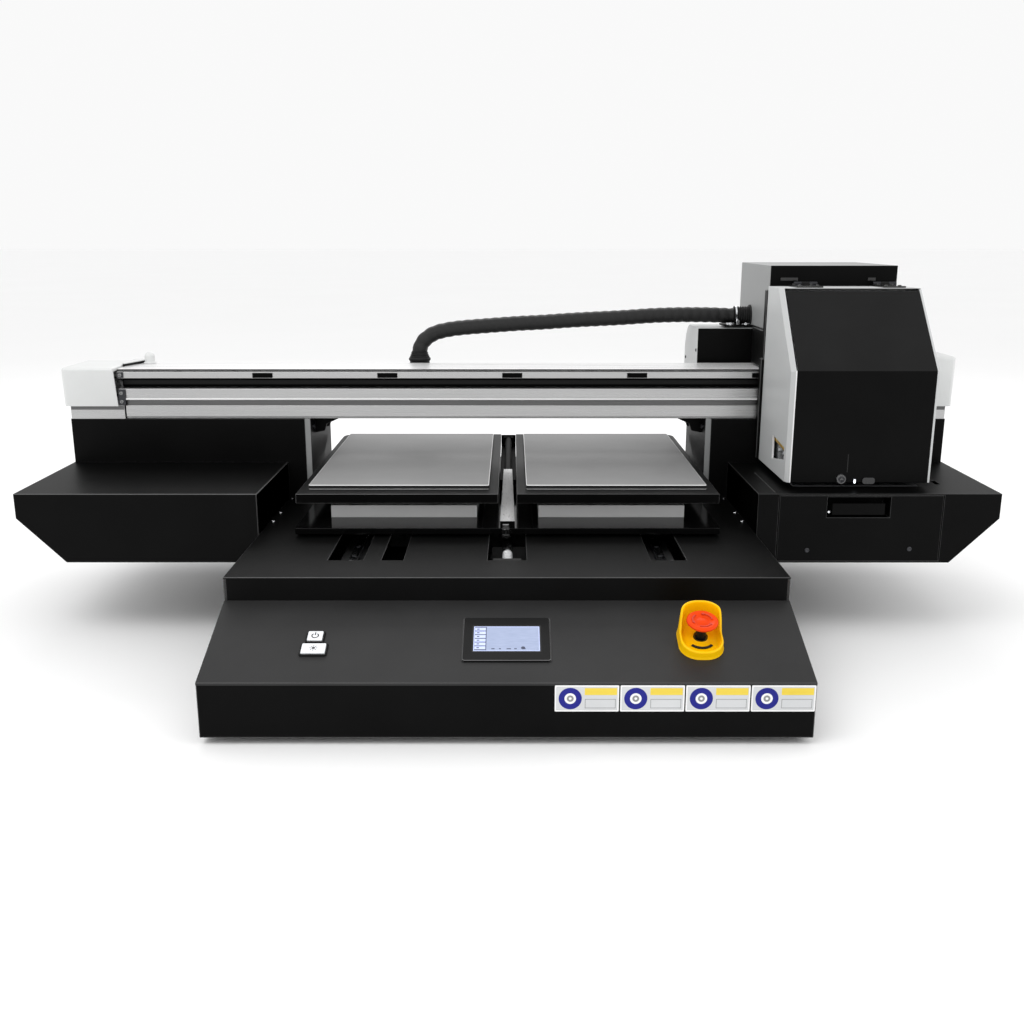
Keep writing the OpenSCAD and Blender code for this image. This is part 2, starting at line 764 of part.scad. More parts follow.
// Bent sides and top of the hinged hood
module hood_shell() {
    t = 4;
    window = [[518, 353], [612, 361], [610, 314], [516, 330]];
    color("#b5b7b7") place() difference() {
        union() {
            prism_x(cx0, cx1, hood_side);
            for (x = hinges_x) {
                box(x - 8, x + 8, hood_back - 14, hinge_y, hood_top, hood_top + 3);
                cyl_x(x - 8, x + 8, hinge_y, hinge_z, 4.5);
            }
        }
        for (x = hinges_x) cyl_x(x - 9, x + 9, hinge_y, hinge_z, 2.05);
        prism_x(cx0 + t, cx1 - t, [[hood_y + t, hood_bottom - 1], [hood_y + t, hood_knee - 1.6],
            [hood_top_y + 1.6, hood_top - t], [hood_back + 1, hood_top - t],
            [hood_back + 1, hood_bottom - 1]]);
        prism_x(cx0 + hood_return, cx1 - t, [[hood_y - 1, hood_bottom - 1], [hood_y - 1, hood_knee + 0.5],
            [hood_top_y - 3, hood_top + 1], [hood_top_y + 5, hood_top - t],
            [hood_y + 9, hood_knee - 1.6], [hood_y + 9, hood_bottom - 1]]);
        prism_x(cx0 - 1, cx0 + t + 1, window);
        prism_x(cx1 - t - 1, cx1 + 1, window);
    }
}

module hood_panel() {
    t = 4;
    color("#1f1f20") place() prism_x(cx0 + hood_return, cx1 - t, [[hood_y, hood_bottom], [hood_y, hood_knee],
        [hood_top_y - 4, hood_top - 4.3], [hood_top_y - 1.5, hood_top - 7],
        [hood_y + t, hood_knee - 1.6], [hood_y + t, hood_bottom]]);
}

// ---- hose ----

function unit(v) = v / norm(v);
function tangent(p, i) = unit(p[min(i + 1, len(p) - 1)] - p[max(i - 1, 0)]);
side = [0, 1, 0];                  // the route never runs along Y
module hose() {
    sides = 10;
    n = len(hose_path);
    points = [for (i = [0 : n - 1]) let (t = tangent(hose_path, i),
        a = unit(cross(t, side)), b = cross(t, a))
        for (j = [0 : sides - 1]) hose_path[i]
            + hose_d / 2 * (cos(j * 360 / sides) * a + sin(j * 360 / sides) * b)];
    walls = [for (i = [0 : n - 2], j = [0 : sides - 1]) let (k = (j + 1) % sides)
        [i * sides + j, i * sides + k, (i + 1) * sides + k, (i + 1) * sides + j]];
    ends = [[for (j = [sides - 1 : -1 : 0]) j], [for (j = [0 : sides - 1]) (n - 1) * sides + j]];
    color("#111111") place() polyhedron(points, concat(walls, ends));
}

base_housing();
rear_panel();
console_panel();
deck_cover();
base_frame();
rubber_feet();
power_supply();
control_board();
rear_fan();
power_inlet();
left_shelf();
right_shelf();
drawer_runners();
support_covers();
side_plates();
beam_brackets();
beam();
beam_top_cover();
beam_rail();
beam_clips();
end_blocks();
end_cap_left();
end_cap_right();
tension_knob();
x_motor();
x_drive_pulley();
x_idler_pulley();
x_belt();
rear_cover();
hose_stand();
y_rails();
screw_bearings();
drive_screw();
y_motor();
touchscreen();
screen_glass();
button_rims();
power_button();
light_button();
stop_shroud();
stop_stem();
stop_head();
label_plates();
capping_station();
drawer();
waste_bottle();
table();
guide_blocks();
centre_bar();
platen_left();
platen_right();
pads_left();
pads_right();
carriage_frame();
print_heads();
ink_box();
hood_hinges();
hood_shell();
hood_panel();
hose();
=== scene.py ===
"""Looks of the flatbed printer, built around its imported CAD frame."""
import json
from math import cos, hypot, pi, radians, sin
import bmesh
import bpy
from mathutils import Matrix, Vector


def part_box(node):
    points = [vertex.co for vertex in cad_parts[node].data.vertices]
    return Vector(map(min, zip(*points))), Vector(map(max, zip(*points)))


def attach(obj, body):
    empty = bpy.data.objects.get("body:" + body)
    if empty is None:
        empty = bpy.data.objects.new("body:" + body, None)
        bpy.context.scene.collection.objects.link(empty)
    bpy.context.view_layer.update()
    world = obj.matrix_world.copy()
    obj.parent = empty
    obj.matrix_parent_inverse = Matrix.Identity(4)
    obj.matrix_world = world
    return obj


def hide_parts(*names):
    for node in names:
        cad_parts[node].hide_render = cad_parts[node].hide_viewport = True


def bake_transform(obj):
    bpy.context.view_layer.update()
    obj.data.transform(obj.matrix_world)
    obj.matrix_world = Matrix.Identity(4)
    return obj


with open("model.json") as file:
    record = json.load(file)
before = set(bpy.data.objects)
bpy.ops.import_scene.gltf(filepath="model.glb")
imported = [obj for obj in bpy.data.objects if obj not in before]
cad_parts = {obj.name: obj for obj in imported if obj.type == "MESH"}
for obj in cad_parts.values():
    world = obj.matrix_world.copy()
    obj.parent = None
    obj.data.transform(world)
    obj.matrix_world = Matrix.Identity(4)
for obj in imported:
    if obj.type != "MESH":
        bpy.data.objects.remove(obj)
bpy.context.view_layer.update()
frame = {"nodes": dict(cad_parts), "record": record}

scene = bpy.context.scene
record = frame["record"]
BODY = {n: b for b, members in record["behaviour"]["bodies"].items() for n in members}
SLOT = {s["node"]: s["material_slot"] for s in record["subparts"]}

# ---- places: local millimetres, Y from the base's front face, Z from its underside ----
base_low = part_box("base_housing")[0]
CONSOLE = radians(19.6)
CONSOLE_Z = 91.0


def mm(p):
    return Vector((p[0] / 1000, base_low.y + p[1] / 1000, base_low.z + p[2] / 1000))


def local(v):
    return Vector((v.x * 1000, (v.y - base_low.y) * 1000, (v.z - base_low.z) * 1000))


def on_console(x, u):
    """A frame on the slanted console: x across, y up the slope, z out of the panel."""
    s, c = sin(CONSOLE), cos(CONSOLE)
    return lambda p: mm((x + p[0], (u + p[1]) * c - p[2] * s, CONSOLE_Z + (u + p[1]) * s + p[2] * c))


# ---- camera, at the photograph's angle ----
def linked(name, data):
    obj = bpy.data.objects.new(name, data)
    scene.collection.objects.link(obj)
    return obj


camera = linked("camera", bpy.data.cameras.new("camera"))
camera.location = (0.0085, -2.1167, 0.760)
camera.rotation_euler = (radians(75.6), 0, 0)
camera.data.sensor_width = 36
camera.data.lens = 37.87
camera.data.clip_start = 0.05
camera.data.clip_end = 150
scene.camera = camera


# ---- materials ----
def nodes_of(name):
    m = bpy.data.materials.new(name)
    m.use_nodes = True
    nt = m.node_tree
    shader = next(n for n in nt.nodes if n.type == "BSDF_PRINCIPLED")
    return m, nt, shader


def put(node, values):
    """Sets a node's inputs, by name or number."""
    for key, value in values.items():
        node.inputs[key].default_value = value


def noise(nt, vector, scale, detail=3.0, rough=0.5):
    n = nt.nodes.new("ShaderNodeTexNoise")
    put(n, {"Scale": scale, "Detail": detail, "Roughness": rough})
    nt.links.new(vector, n.inputs["Vector"])
    return n.outputs["Fac"]


def spread(nt, value, low, high, start=0.3, end=0.7):
    n = nt.nodes.new("ShaderNodeMapRange")
    put(n, {1: start, 2: end, 3: low, 4: high})
    nt.links.new(value, n.inputs[0])
    return n.outputs[0]


def blend_colour(nt, fac, a, b):
    n = nt.nodes.new("ShaderNodeMix")
    n.data_type = "RGBA"
    nt.links.new(fac, n.inputs[0])
    put(n, {6: (*a, 1), 7: (*b, 1)})
    return n.outputs[2]


def bumped(nt, shader, height, strength, distance):
    n = nt.nodes.new("ShaderNodeBump")
    put(n, {"Strength": strength, "Distance": distance})
    nt.links.new(height, n.inputs["Height"])
    nt.links.new(n.outputs["Normal"], shader.inputs["Normal"])


def grey(v):
    """A colour given as one number is a grey, a touch cool."""
    return v if isinstance(v, tuple) else (v, v, v * 1.01)


def neutral(v):
    return (v, v, v)


def mapped(nt, vector, scale):
    n = nt.nodes.new("ShaderNodeMapping")
    put(n, {"Scale": scale})
    nt.links.new(vector, n.inputs["Vector"])
    return n.outputs["Vector"]


def object_space(nt, stretch):
    """The object's own coordinates, squeezed along its axes for brushed or drawn grain."""
    return mapped(nt, nt.nodes.new("ShaderNodeTexCoord").outputs["Object"], stretch)


def look(name, dark, light, rough, metal=0.0, grain=1500, stretch=(1, 1, 1), bump=0.05, depth=0.0002,
        patch=9, spec=0.5, coat=0.0, transmit=0.0):
    """A finish whose colour drifts in soft patches, with a fine grain in roughness and height."""
    m, nt, s = nodes_of(name)
    place = object_space(nt, stretch)
    fine = noise(nt, place, grain, 2.0)
    soft = noise(nt, place, patch, 4.0, 0.6)
    colour = blend_colour(nt, spread(nt, soft, 0, 1), grey(dark), grey(light))
    nt.links.new(colour, s.inputs["Base Color"])
    nt.links.new(spread(nt, fine, rough[0], rough[1]), s.inputs["Roughness"])
    bumped(nt, s, fine, bump, depth)
    put(s, {"Metallic": metal, "Specular IOR Level": spec, "Coat Weight": coat, "Coat Roughness": 0.1,
        "Transmission Weight": transmit})
    return m


M = {
    "black_sheet": look("powder_black", 0.0016, 0.0026, (0.38, 0.50), grain=900, bump=0.18, spec=0.065),
    # the two paler edge finishes are a painted highlight for the rounded edges of folded sheet
    "black_edge_painted_highlight": look("powder_black_edge", 0.030, 0.045, (0.26, 0.36), grain=900, bump=0.1, spec=0.6),
    "console_sheet": look("powder_console", 0.017, 0.022, (0.38, 0.52), grain=900, bump=0.22, spec=0.26),
    "console_edge_painted_highlight": look("powder_console_edge", 0.06, 0.08, (0.26, 0.36), grain=900, bump=0.1, spec=0.6),
    "silver_sheet": look("silver_paint", (0.50, 0.51, 0.51), (0.54, 0.55, 0.55), (0.36, 0.48),
        patch=3, spec=0.4),
    "frame_paint": look("frame_paint", 0.035, 0.05, (0.45, 0.6), grain=700, bump=0.3),
    "white_plastic": look("white_plastic", (0.66, 0.67, 0.665), (0.70, 0.71, 0.705), (0.34, 0.46),
        grain=1200, spec=0.35),
    "black_plastic": look("black_plastic", 0.004, 0.007, (0.34, 0.5), grain=1100, bump=0.15, spec=0.18),
    "black_gloss": look("black_gloss", 0.004, 0.006, (0.06, 0.12), grain=500, bump=0.04, spec=0.6),
    "aluminium": look("aluminium_drawn", neutral(0.44), neutral(0.49), (0.24, 0.34), metal=0.85, grain=520,
        stretch=(0.004, 1, 1), bump=0.015, depth=0.0001, patch=14),
    # a dark aluminium; as the strip under the end caps it is painted shade
    "aluminium_dim": look("aluminium_dark_and_painted_shade", neutral(0.06), neutral(0.15), (0.24, 0.40), metal=0.9,
        grain=520, stretch=(0.02, 1, 1), bump=0.02, depth=0.0001, patch=8),
    "aluminium_y": look("aluminium_machined", neutral(0.46), neutral(0.60), (0.26, 0.40), metal=0.85,
        grain=640, stretch=(1, 0.02, 1), depth=0.0001, patch=60),
    "block_face": look("aluminium_blasted", neutral(0.72), neutral(0.78), (0.40, 0.52), metal=0.3,
        bump=0.06, patch=6),
    "table_black": look("anodised_gloss", 0.0015, 0.0025, (0.09, 0.15), grain=700, bump=0.03, spec=0.11),
    "tray_black": look("anodised_satin", 0.0024, 0.0038, (0.40, 0.50), grain=1600, bump=0.08, spec=0.10),
    # a paler anodised finish for rounded edges: painted highlight
    "tray_edge_painted_highlight": look("anodised_edge_painted_highlight", 0.10, 0.15, (0.26, 0.36), grain=1600, bump=0.08, spec=0.5),
    "pad_grey": look("silicone_pad", neutral(0.225), neutral(0.265), (0.62, 0.74), grain=2200,
        bump=0.25, patch=4),
    "steel_bright": look("steel_ground", (0.66, 0.67, 0.69), (0.78, 0.79, 0.81), (0.12, 0.24), metal=1.0,
        grain=900, stretch=(1, 0.05, 1), depth=0.0001),
    "steel_dark": look("steel_oxide", (0.035, 0.036, 0.040), (0.06, 0.061, 0.066), (0.30, 0.42), metal=0.85,
        grain=900, stretch=(0.05, 1, 1), bump=0.08),
    "rubber": look("rubber", 0.008, 0.014, (0.6, 0.75), bump=0.35, spec=0.3),
    "belt": look("belt_rubber", 0.012, 0.020, (0.55, 0.7), grain=1600, bump=0.3, spec=0.3),
    "board": look("circuit_board", (0.010, 0.070, 0.034), (0.016, 0.100, 0.050), (0.25, 0.4), grain=700,
        bump=0.2, patch=60),
    "tin_plate": look("plated_sheet", (0.44, 0.45, 0.47), (0.58, 0.59, 0.60), (0.24, 0.36), metal=1.0,
        grain=300, patch=60),
    "button_white": look("button_white", (0.80, 0.82, 0.85), (0.86, 0.88, 0.90), (0.16, 0.24), bump=0.04),
    "stop_yellow": look("stop_yellow", (1.0, 0.54, 0.0), (1.0, 0.58, 0.0), (0.30, 0.40),
        bump=0.04, spec=0.18),
    "stop_red": look("stop_red", (0.76, 0.045, 0.0015), (0.82, 0.06, 0.002), (0.28, 0.38),
        bump=0.04, spec=0.12),
    "stop_mark": look("stop_mark", (0.55, 0.030, 0.006), (0.62, 0.040, 0.008), (0.3, 0.4)),
    "ribbon_gold": look("ribbon_gold", (0.42, 0.25, 0.02), (0.54, 0.33, 0.03), (0.24, 0.36), grain=500,
        stretch=(1, 0.05, 1), bump=0.1),
    "label": look("sign_plate", (0.56, 0.57, 0.58), (0.62, 0.63, 0.64), (0.30, 0.42), grain=1200),
    # white for printed borders, and also a painted highlight on the hood's front rim and the pads' rims
    "white_print_and_highlight": look("sign_white_and_painted_highlight", neutral(0.80), neutral(0.86), (0.28, 0.38), grain=1200),
    "label_blue": look("sign_blue", (0.010, 0.012, 0.19), (0.014, 0.017, 0.24), (0.3, 0.4),
        grain=1200, spec=0.2),
    "label_yellow": look("sign_yellow", (0.74, 0.55, 0.04), (0.82, 0.62, 0.06), (0.28, 0.38), grain=1200),
    "bottle": look("bottle_plastic", (0.60, 0.62, 0.58), (0.68, 0.70, 0.66), (0.35, 0.5), grain=800,
        bump=0.1, transmit=0.35),
    # a dimmer silver; on the ink box's top and left side it is painted shade
    "silver_dim": look("silver_shade", (0.24, 0.245, 0.245), (0.28, 0.285, 0.285), (0.40, 0.52),
        patch=3, spec=0.3),
    "beam_white": look("beam_top", neutral(0.74), neutral(0.82), (0.24, 0.34), metal=0.3, grain=520,
        stretch=(0.004, 1, 1), bump=0.015, depth=0.0001, patch=10),
    "head_grey": look("moulded_grey", (0.06, 0.062, 0.066), (0.085, 0.087, 0.09), (0.42, 0.56),
        grain=1000, bump=0.2),
    "foil": look("nozzle_foil", (0.60, 0.52, 0.34), (0.72, 0.64, 0.44), (0.18, 0.30), metal=1.0,
        grain=1200, bump=0.04),
    "chrome": look("chrome", (0.74, 0.75, 0.77), (0.84, 0.85, 0.87), (0.06, 0.14), metal=1.0,
        grain=400, bump=0.03),
    "collar_bright": look("collar_bright", (0.70, 0.71, 0.72), (0.82, 0.83, 0.84), (0.18, 0.28), metal=0.5,
        grain=600, bump=0.03),
    # a deeper black for upright faces, recesses and gaps: painted shade
    "painted_shade_black": look("anodised_painted_shade", 0.0012, 0.002, (0.5, 0.6), grain=1600, bump=0.08, spec=0.04),
    # a lighter copy of the black powder coat for faces turned to the light: painted light
    "black_painted_light": look("powder_black_slope_painted_light", 0.0052, 0.0074, (0.38, 0.50), grain=900, bump=0.18, spec=0.14),
    "smoke": look("smoked_lens", (0.020, 0.020, 0.021), (0.032, 0.032, 0.034), (0.06, 0.12), grain=400,
        bump=0.03, spec=0.7, coat=0.4),
    "screen_glossy": look("smoked_window", (0.010, 0.010, 0.011), (0.016, 0.016, 0.017), (0.08, 0.14),
        grain=300, bump=0.03),
    "floor": look("pale_floor", neutral(0.975), neutral(0.99), (0.6, 0.75), grain=60, bump=0.02,
        patch=0.6, spec=0.3),
}
# folded sheet's rounded edges take the paler finish: a painted highlight
EDGES = {"black_sheet": "black_edge_painted_highlight", "console_sheet": "console_edge_painted_highlight"}


def glowing(name, dark, light, strength, scale, stretch=(1, 1, 1)):
    """A lit display or lamp with a faint texture in its light."""
    m, nt, s = nodes_of(name)
    texture = noise(nt, object_space(nt, stretch), scale, 2.0)
    colour = blend_colour(nt, spread(nt, texture, 0, 1), dark, light)
    nt.links.new(colour, s.inputs["Base Color"])
    nt.links.new(colour, s.inputs["Emission Color"])
    put(s, {"Emission Strength": strength, "Roughness": 0.12})
    return m


M["screen"] = glowing("display_light", (0.27, 0.32, 0.46), (0.32, 0.37, 0.52), 0.34, 60, (1, 9, 9))
M["screen_edge"] = glowing("display_edge", (0.46, 0.52, 0.80), (0.52, 0.58, 0.86), 0.42, 60)
M["screen_dark"] = glowing("display_dark", (0.045, 0.05, 0.09), (0.07, 0.08, 0.13), 0.2, 90)
M["led"] = glowing("lamp", (0.85, 0.9, 1.0), (0.95, 0.98, 1.0), 1.4, 200)


def sleeve_material():
    """Braided sleeve: two crossing sets of strands wound round the hose, from the tube's own map."""
    m, nt, s = nodes_of("braided_sleeve")
    uv = nt.nodes.new("ShaderNodeUVMap")
    uv.uv_map = "along"
    heights, strands = [], 30.0
    for turn in (1, -1):
        place = mapped(nt, uv.outputs["UV"], (strands, strands * turn, 1))
        wave = nt.nodes.new("ShaderNodeTexWave")
        wave.bands_direction = "DIAGONAL"
        put(wave, {"Scale": 0.9, "Distortion": 0.4})
        nt.links.new(place, wave.inputs["Vector"])
        heights.append(wave.outputs["Fac"])
    top = nt.nodes.new("ShaderNodeMath")
    top.operation = "MAXIMUM"
    for i, height in enumerate(heights):
        nt.links.new(height, top.inputs[i])
    nt.links.new(blend_colour(nt, top.outputs[0], grey(0.002), grey(0.008)), s.inputs["Base Color"])
    nt.links.new(spread(nt, top.outputs[0], 0.62, 0.40, 0, 1), s.inputs["Roughness"])
    bumped(nt, s, top.outputs[0], 0.5, 0.0006)
    put(s, {"Specular IOR Level": 0.35})
    return m


M["hose_sleeve"] = sleeve_material()


# ---- mesh helpers ----
def shaded(obj, angle=32):
    obj.data.shade_smooth()
    obj.data.set_sharp_from_angle(angle=radians(angle))
    w = obj.modifiers.new("weighted", "WEIGHTED_NORMAL")
    w.keep_sharp = True
    w.weight = 80


def rounded(bm, width, segments, angle, keep=None, material=-1):
    """Rounds every edge sharper than the angle, by width in millimetres."""
    edges = []
    for e in bm.edges:
        if len(e.link_faces) == 2 and e.calc_face_angle(0) > radians(angle):
            a, b = local(e.verts[0].co), local(e.verts[1].co)
            if keep is None or not keep(a, b):
                edges.append(e)
    if edges and width > 0:
        bmesh.ops.bevel(bm, geom=edges, offset=width / 1000, offset_type="OFFSET", segments=segments,
            profile=0.5, affect="EDGES", clamp_overlap=True, material=material)


def mesh_object(bm, name, mats):
    mesh = bpy.data.meshes.new(name)
    bm.to_mesh(mesh)
    bm.free()
    for m in mats:
        mesh.materials.append(M[m])
    return linked(name, mesh)


def as_object(bm, name, body, mats, replaces=(), angle=32):
    obj = mesh_object(bm, name, mats)
    shaded(obj, angle)
    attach(obj, body)
    if replaces:
        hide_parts(*replaces)


def dress(node, width=1.2, segments=2, angle=26, mats=None, pick=None, keep=None, material=-1, before=None):
    """The CAD node's own shape with its folded or machined edges rounded; pick chooses a face's finish,
    and before may change the mesh first. Folded black sheet takes a paler finish on its rounded edges: a
    painted highlight."""
    bm = bmesh.new()
    bm.from_mesh(frame["nodes"][node].data)
    bmesh.ops.remove_doubles(bm, verts=bm.verts[:], dist=2e-6)
    bmesh.ops.dissolve_limit(bm, angle_limit=radians(0.5), verts=bm.verts[:], edges=bm.edges[:])
    if before:
        before(bm)
        bm.normal_update()
    for f in bm.faces:
        f.material_index = pick(local(f.calc_center_median()), f.normal) if pick else 0
    if mats is None:
        mats = [SLOT[node]]
        if SLOT[node] in EDGES:
            mats.append(EDGES[SLOT[node]])
            material = 1
    rounded(bm, width, segments, angle, keep, material)
    as_object(bm, node + "_body", BODY[node], mats, [node])


class Part:
    """Faces gathered in local millimetres, or in another frame given by at."""

    def __init__(self, at=mm):
        self.bm, self.at = bmesh.new(), at

    def rings(self, rings, m=0, caps=(True, True), loop=False, by_step=None):
        """Skins ring to ring; loop joins the last to the first, by_step gives each step its finish."""
        rows = [[self.bm.verts.new(self.at(p)) for p in ring] for ring in rings]
        n = len(rings[0])
        pairs = list(zip(rows, rows[1:] + rows[:1])) if loop else list(zip(rows, rows[1:]))
        for step, (a, b) in enumerate(pairs):
            for i in range(n):
                j = (i + 1) % n
                self.bm.faces.new((a[i], a[j], b[j], b[i])).material_index = by_step[step] if by_step else m
        for row, cap in ((rows[0][::-1], caps[0]), (rows[-1], caps[1])):
            if cap and not loop:
                self.bm.faces.new(row).material_index = m
        return self

    def box(self, x0, x1, y0, y1, z0, z1, m=0):
        return self.rings([[(x0, y0, z), (x1, y0, z), (x1, y1, z), (x0, y1, z)] for z in (z0, z1)], m)

    def prism(self, axis, a0, a1, outline, m=0):
        """An outline in the two other axes, extruded along axis 0, 1 or 2."""
        def at(a, p):
            q = list(p)
            q.insert(axis, a)
            return q
        return self.rings([[at(a, p) for p in outline] for a in (a0, a1)], m)

    def loft(self, layers, **more):
        """layers: (z, outline in x and y); more goes to rings."""
        return self.rings([[(x, y, z) for x, y in outline] for z, outline in layers], **more)

    def lathe(self, axis, centre, profile, n=32, m=0, caps=(True, True)):
        """profile: (distance along the axis, radius); centre is a point in the frame."""
        rings = []
        for h, r in profile:
            ring = []
            for i in range(n):
                t = 2 * pi * i / n
                q = [r * cos(t), r * sin(t)]
                q.insert(axis, h)
                ring.append([centre[k] + q[k] for k in range(3)])
            rings.append(ring)
        return self.rings(rings, m, caps=caps)

    def done(self, name, slot, mats=None, replaces=(), bevel=0.0, segments=2, angle=30,
            smooth=32, body="frame"):
        bmesh.ops.recalc_face_normals(self.bm, faces=self.bm.faces[:])
        rounded(self.bm, bevel, segments, angle)
        as_object(self.bm, name, body, mats or [slot], replaces, smooth)


def turned(name, slot, axis, spots, profile, sides, mats=None, body="frame"):
    """One piece from the same turned profile at several spots, such as a row of screw heads."""
    part = Part()
    for spot in spots:
        part.lathe(axis, spot, profile, sides)
    part.done(name, slot, mats, body=body)


def rrect(w, l, r, n=6, cx=0.0, cy=0.0):
    """Points of a rectangle with rounded corners."""
    out = []
    for sx, sy, a in ((1, -1, -90), (1, 1, 0), (-1, 1, 90), (-1, -1, 180)):
        for i in range(n + 1):
            t = radians(a + 90 * i / n)
            out.append((cx + sx * (w / 2 - r) + r * cos(t), cy + sy * (l / 2 - r) + r * sin(t)))
    return out


# ---- hose, first after the camera ----
HOSE_ROUTE = [mm(p) for p in ((-198, 905, 484), (-198, 905, 494), (-195, 906, 508), (-185, 908, 523),
    (-163, 911, 537), (-130, 914, 545), (-95, 917, 549), (-40, 921, 553), (20, 924, 557), (80, 926, 560),
    (140, 928, 564), (200, 929, 567), (260, 930, 570), (320, 930, 574), (380, 930, 576), (440, 930, 576),
    (475, 930, 575), (492, 930, 574), (505, 930, 574))]
HOSE_D = 0.034
HOSE_RIB = 0.0205  # from one rib of the sleeve to the next


def smooth_route(points, step):
    """Catmull-Rom through the points, resampled at an even step."""
    dense = []
    for i in range(len(points) - 1):
        a, b = points[max(i - 1, 0)], points[i]
        c, d = points[i + 1], points[min(i + 2, len(points) - 1)]
        for k in range(24):
            t = k / 24
            cubic = (3 * b - a - 3 * c + d) * t * t * t
            dense.append(0.5 * ((2 * b) + (c - a) * t + (2 * a - 5 * b + 4 * c - d) * t * t + cubic))
    dense.append(points[-1])
    lengths = [0.0]
    for a, b in zip(dense, dense[1:]):
        lengths.append(lengths[-1] + (b - a).length)
    total, out, k = lengths[-1], [], 0
    count = round(total / step)
    for i in range(count + 1):
        want = total * i / count
        while k < len(dense) - 2 and lengths[k + 1] < want:
            k += 1
        t = (want - lengths[k]) / max(lengths[k + 1] - lengths[k], 1e-9)
        out.append(dense[k].lerp(dense[k + 1], t))
    return out, total


def make_hose():
    route, total = smooth_route(HOSE_ROUTE, 0.003)
    sides, bm = 28, bmesh.new()
    uv = bm.loops.layers.uv.new("along")
    rows, last = [], len(route) - 1
    for i, p in enumerate(route):
        t = (route[min(i + 1, last)] - route[max(i - 1, 0)]).normalized()
        a = t.cross(Vector((0, 1, 0))).normalized()
        b = t.cross(a)
        s = total * i / last
        rib = 0.5 + 0.5 * cos(2 * pi * s / HOSE_RIB)
        r = HOSE_D / 2 * (0.93 + 0.065 * rib ** 0.7)
        turns = [2 * pi * j / sides for j in range(sides)]
        rows.append([(bm.verts.new(p + r * (cos(u) * a + sin(u) * b)), s) for u in turns])
    around = pi * HOSE_D
    for ra, rb in zip(rows, rows[1:]):
        for j in range(sides):
            k = (j + 1) % sides
            f = bm.faces.new((ra[j][0], ra[k][0], rb[k][0], rb[j][0]))
            for loop, (u, v) in zip(f.loops,
                    ((j, ra[j][1]), (j + 1, ra[j][1]), (j + 1, rb[j][1]), (j, rb[j][1]))):
                loop[uv].uv = (u / sides, v / around)
    for row in (rows[0][::-1], rows[-1]):
        bm.faces.new([v for v, _ in row])
    bmesh.ops.recalc_face_normals(bm, faces=bm.faces[:])
    obj = mesh_object(bm, "hose_sleeved", ["hose_sleeve"])
    obj.data.shade_smooth()
    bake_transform(obj)
    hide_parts("hose")


make_hose()

# ---- sheet metal, frames and machined parts whose CAD shape is right: same shape, rounded edges ----
FOLD = 1.7


def seam_of_pan(a, b):
    """The joint between the pan and the console stays sharp, so that it doesn't read as a groove."""
    return all(abs(p.y) < 1 and p.z > 80 for p in (a, b)) or all(p.y > 1195 and p.z > 190 for p in (a, b))


dress("base_housing", FOLD, keep=seam_of_pan)
dress("console_panel", FOLD, keep=lambda a, b: max(a.z, b.z) < 88 and max(a.y, b.y) < 1)
dress("deck_cover", 2.0)
dress("rear_panel", 0.5, angle=40)
dress("left_shelf", 2.2)
dress("right_shelf", 1.4)
dress("support_covers", 1.4)
dress("side_plates", 0.9, mats=["silver_dim", "black_sheet"], pick=lambda c, n: int(abs(n.x) > 0.5))
dress("beam_brackets", 0.8)
dress("base_frame", 2.0)
dress("rubber_feet", 3.0, 3)
dress("drawer_runners", 0.5)
dress("power_supply", 1.0)
dress("control_board", 0.2, 1, mats=["board", "black_plastic", "tin_plate"],
    pick=lambda c, n: 0 if c.z < 16.5 else (1 if c.z < 21 or c.y > 900 else 2))
dress("end_blocks", 0.9)
# the cover's thin front face is black: a painted shade line under its top
dress("beam_top_cover", 0.5, mats=["beam_white", "painted_shade_black"], pick=lambda c, n: int(n.y < -0.9))
# the clips in the beam's recess are in painted shade black
dress("beam_clips", 0.6, mats=["painted_shade_black"])
dress("hose_stand", 1.5)
dress("screw_bearings", 0.8, mats=["rubber"])
dress("table", 1.1)
dress("guide_blocks", 1.2, mats=["block_face"])
dress("carriage_frame", 1.2)
dress("capping_station", 0.6)
dress("x_motor", 1.5)
dress("y_motor", 1.5)
dress("y_rails", 0.5)
dress("drawer", 1.2)
dress("waste_bottle", 5.0, 3)
dress("power_inlet", 0.6)
dress("x_drive_pulley", 0.4)
dress("x_idler_pulley", 0.4)
# the rail sits in the beam's recess and is drawn black: painted shade
dress("beam_rail", 0.5, mats=["black_plastic"])
dress("x_belt", 0.0)
# the rod and post behind the trays and the bar's front face are in painted shade black
dress("centre_bar", 1.6, mats=["aluminium_y", "painted_shade_black"], angle=20,
    pick=lambda c, n: int(c.y > 719 or n.y < -0.5))
dress("print_heads", 0.7, mats=["head_grey", "foil"], pick=lambda c, n: int(n.z < -0.9 and c.z < 290))
dress("screen_glass", 0.2, 1)
dress("stop_stem", 0.6)
dress("hood_hinges", 0.4)
# its sloping faces take a lighter black: painted light
dress("hood_panel", 1.5, mats=["black_sheet", "black_painted_light"], pick=lambda c, n: int(0.2 < n.z < 0.95))
for side in ("left", "right"):
    # tray edges take a paler anodised finish as a painted highlight, and the trays' upright faces painted
    # shade black
    dress("platen_" + side, 0.8, mats=["tray_black", "tray_edge_painted_highlight", "steel_bright", "painted_shade_black"],
        material=1, pick=lambda c, n: 2 if c.z < 239 else (0 if n.z > 0.5 else 3))
    # the pads' rounded rims are white as a painted highlight, and their sides black rubber as painted shade
    dress("pads_" + side, 1.3, 2, mats=["pad_grey", "white_print_and_highlight", "rubber"], material=1,
        pick=lambda c, n: 0 if n.z > 0.5 else 2)
dress("rear_cover", 2.4, 3, mats=["silver_sheet", "black_sheet"], pick=lambda c, n: int(n.y < -0.9))


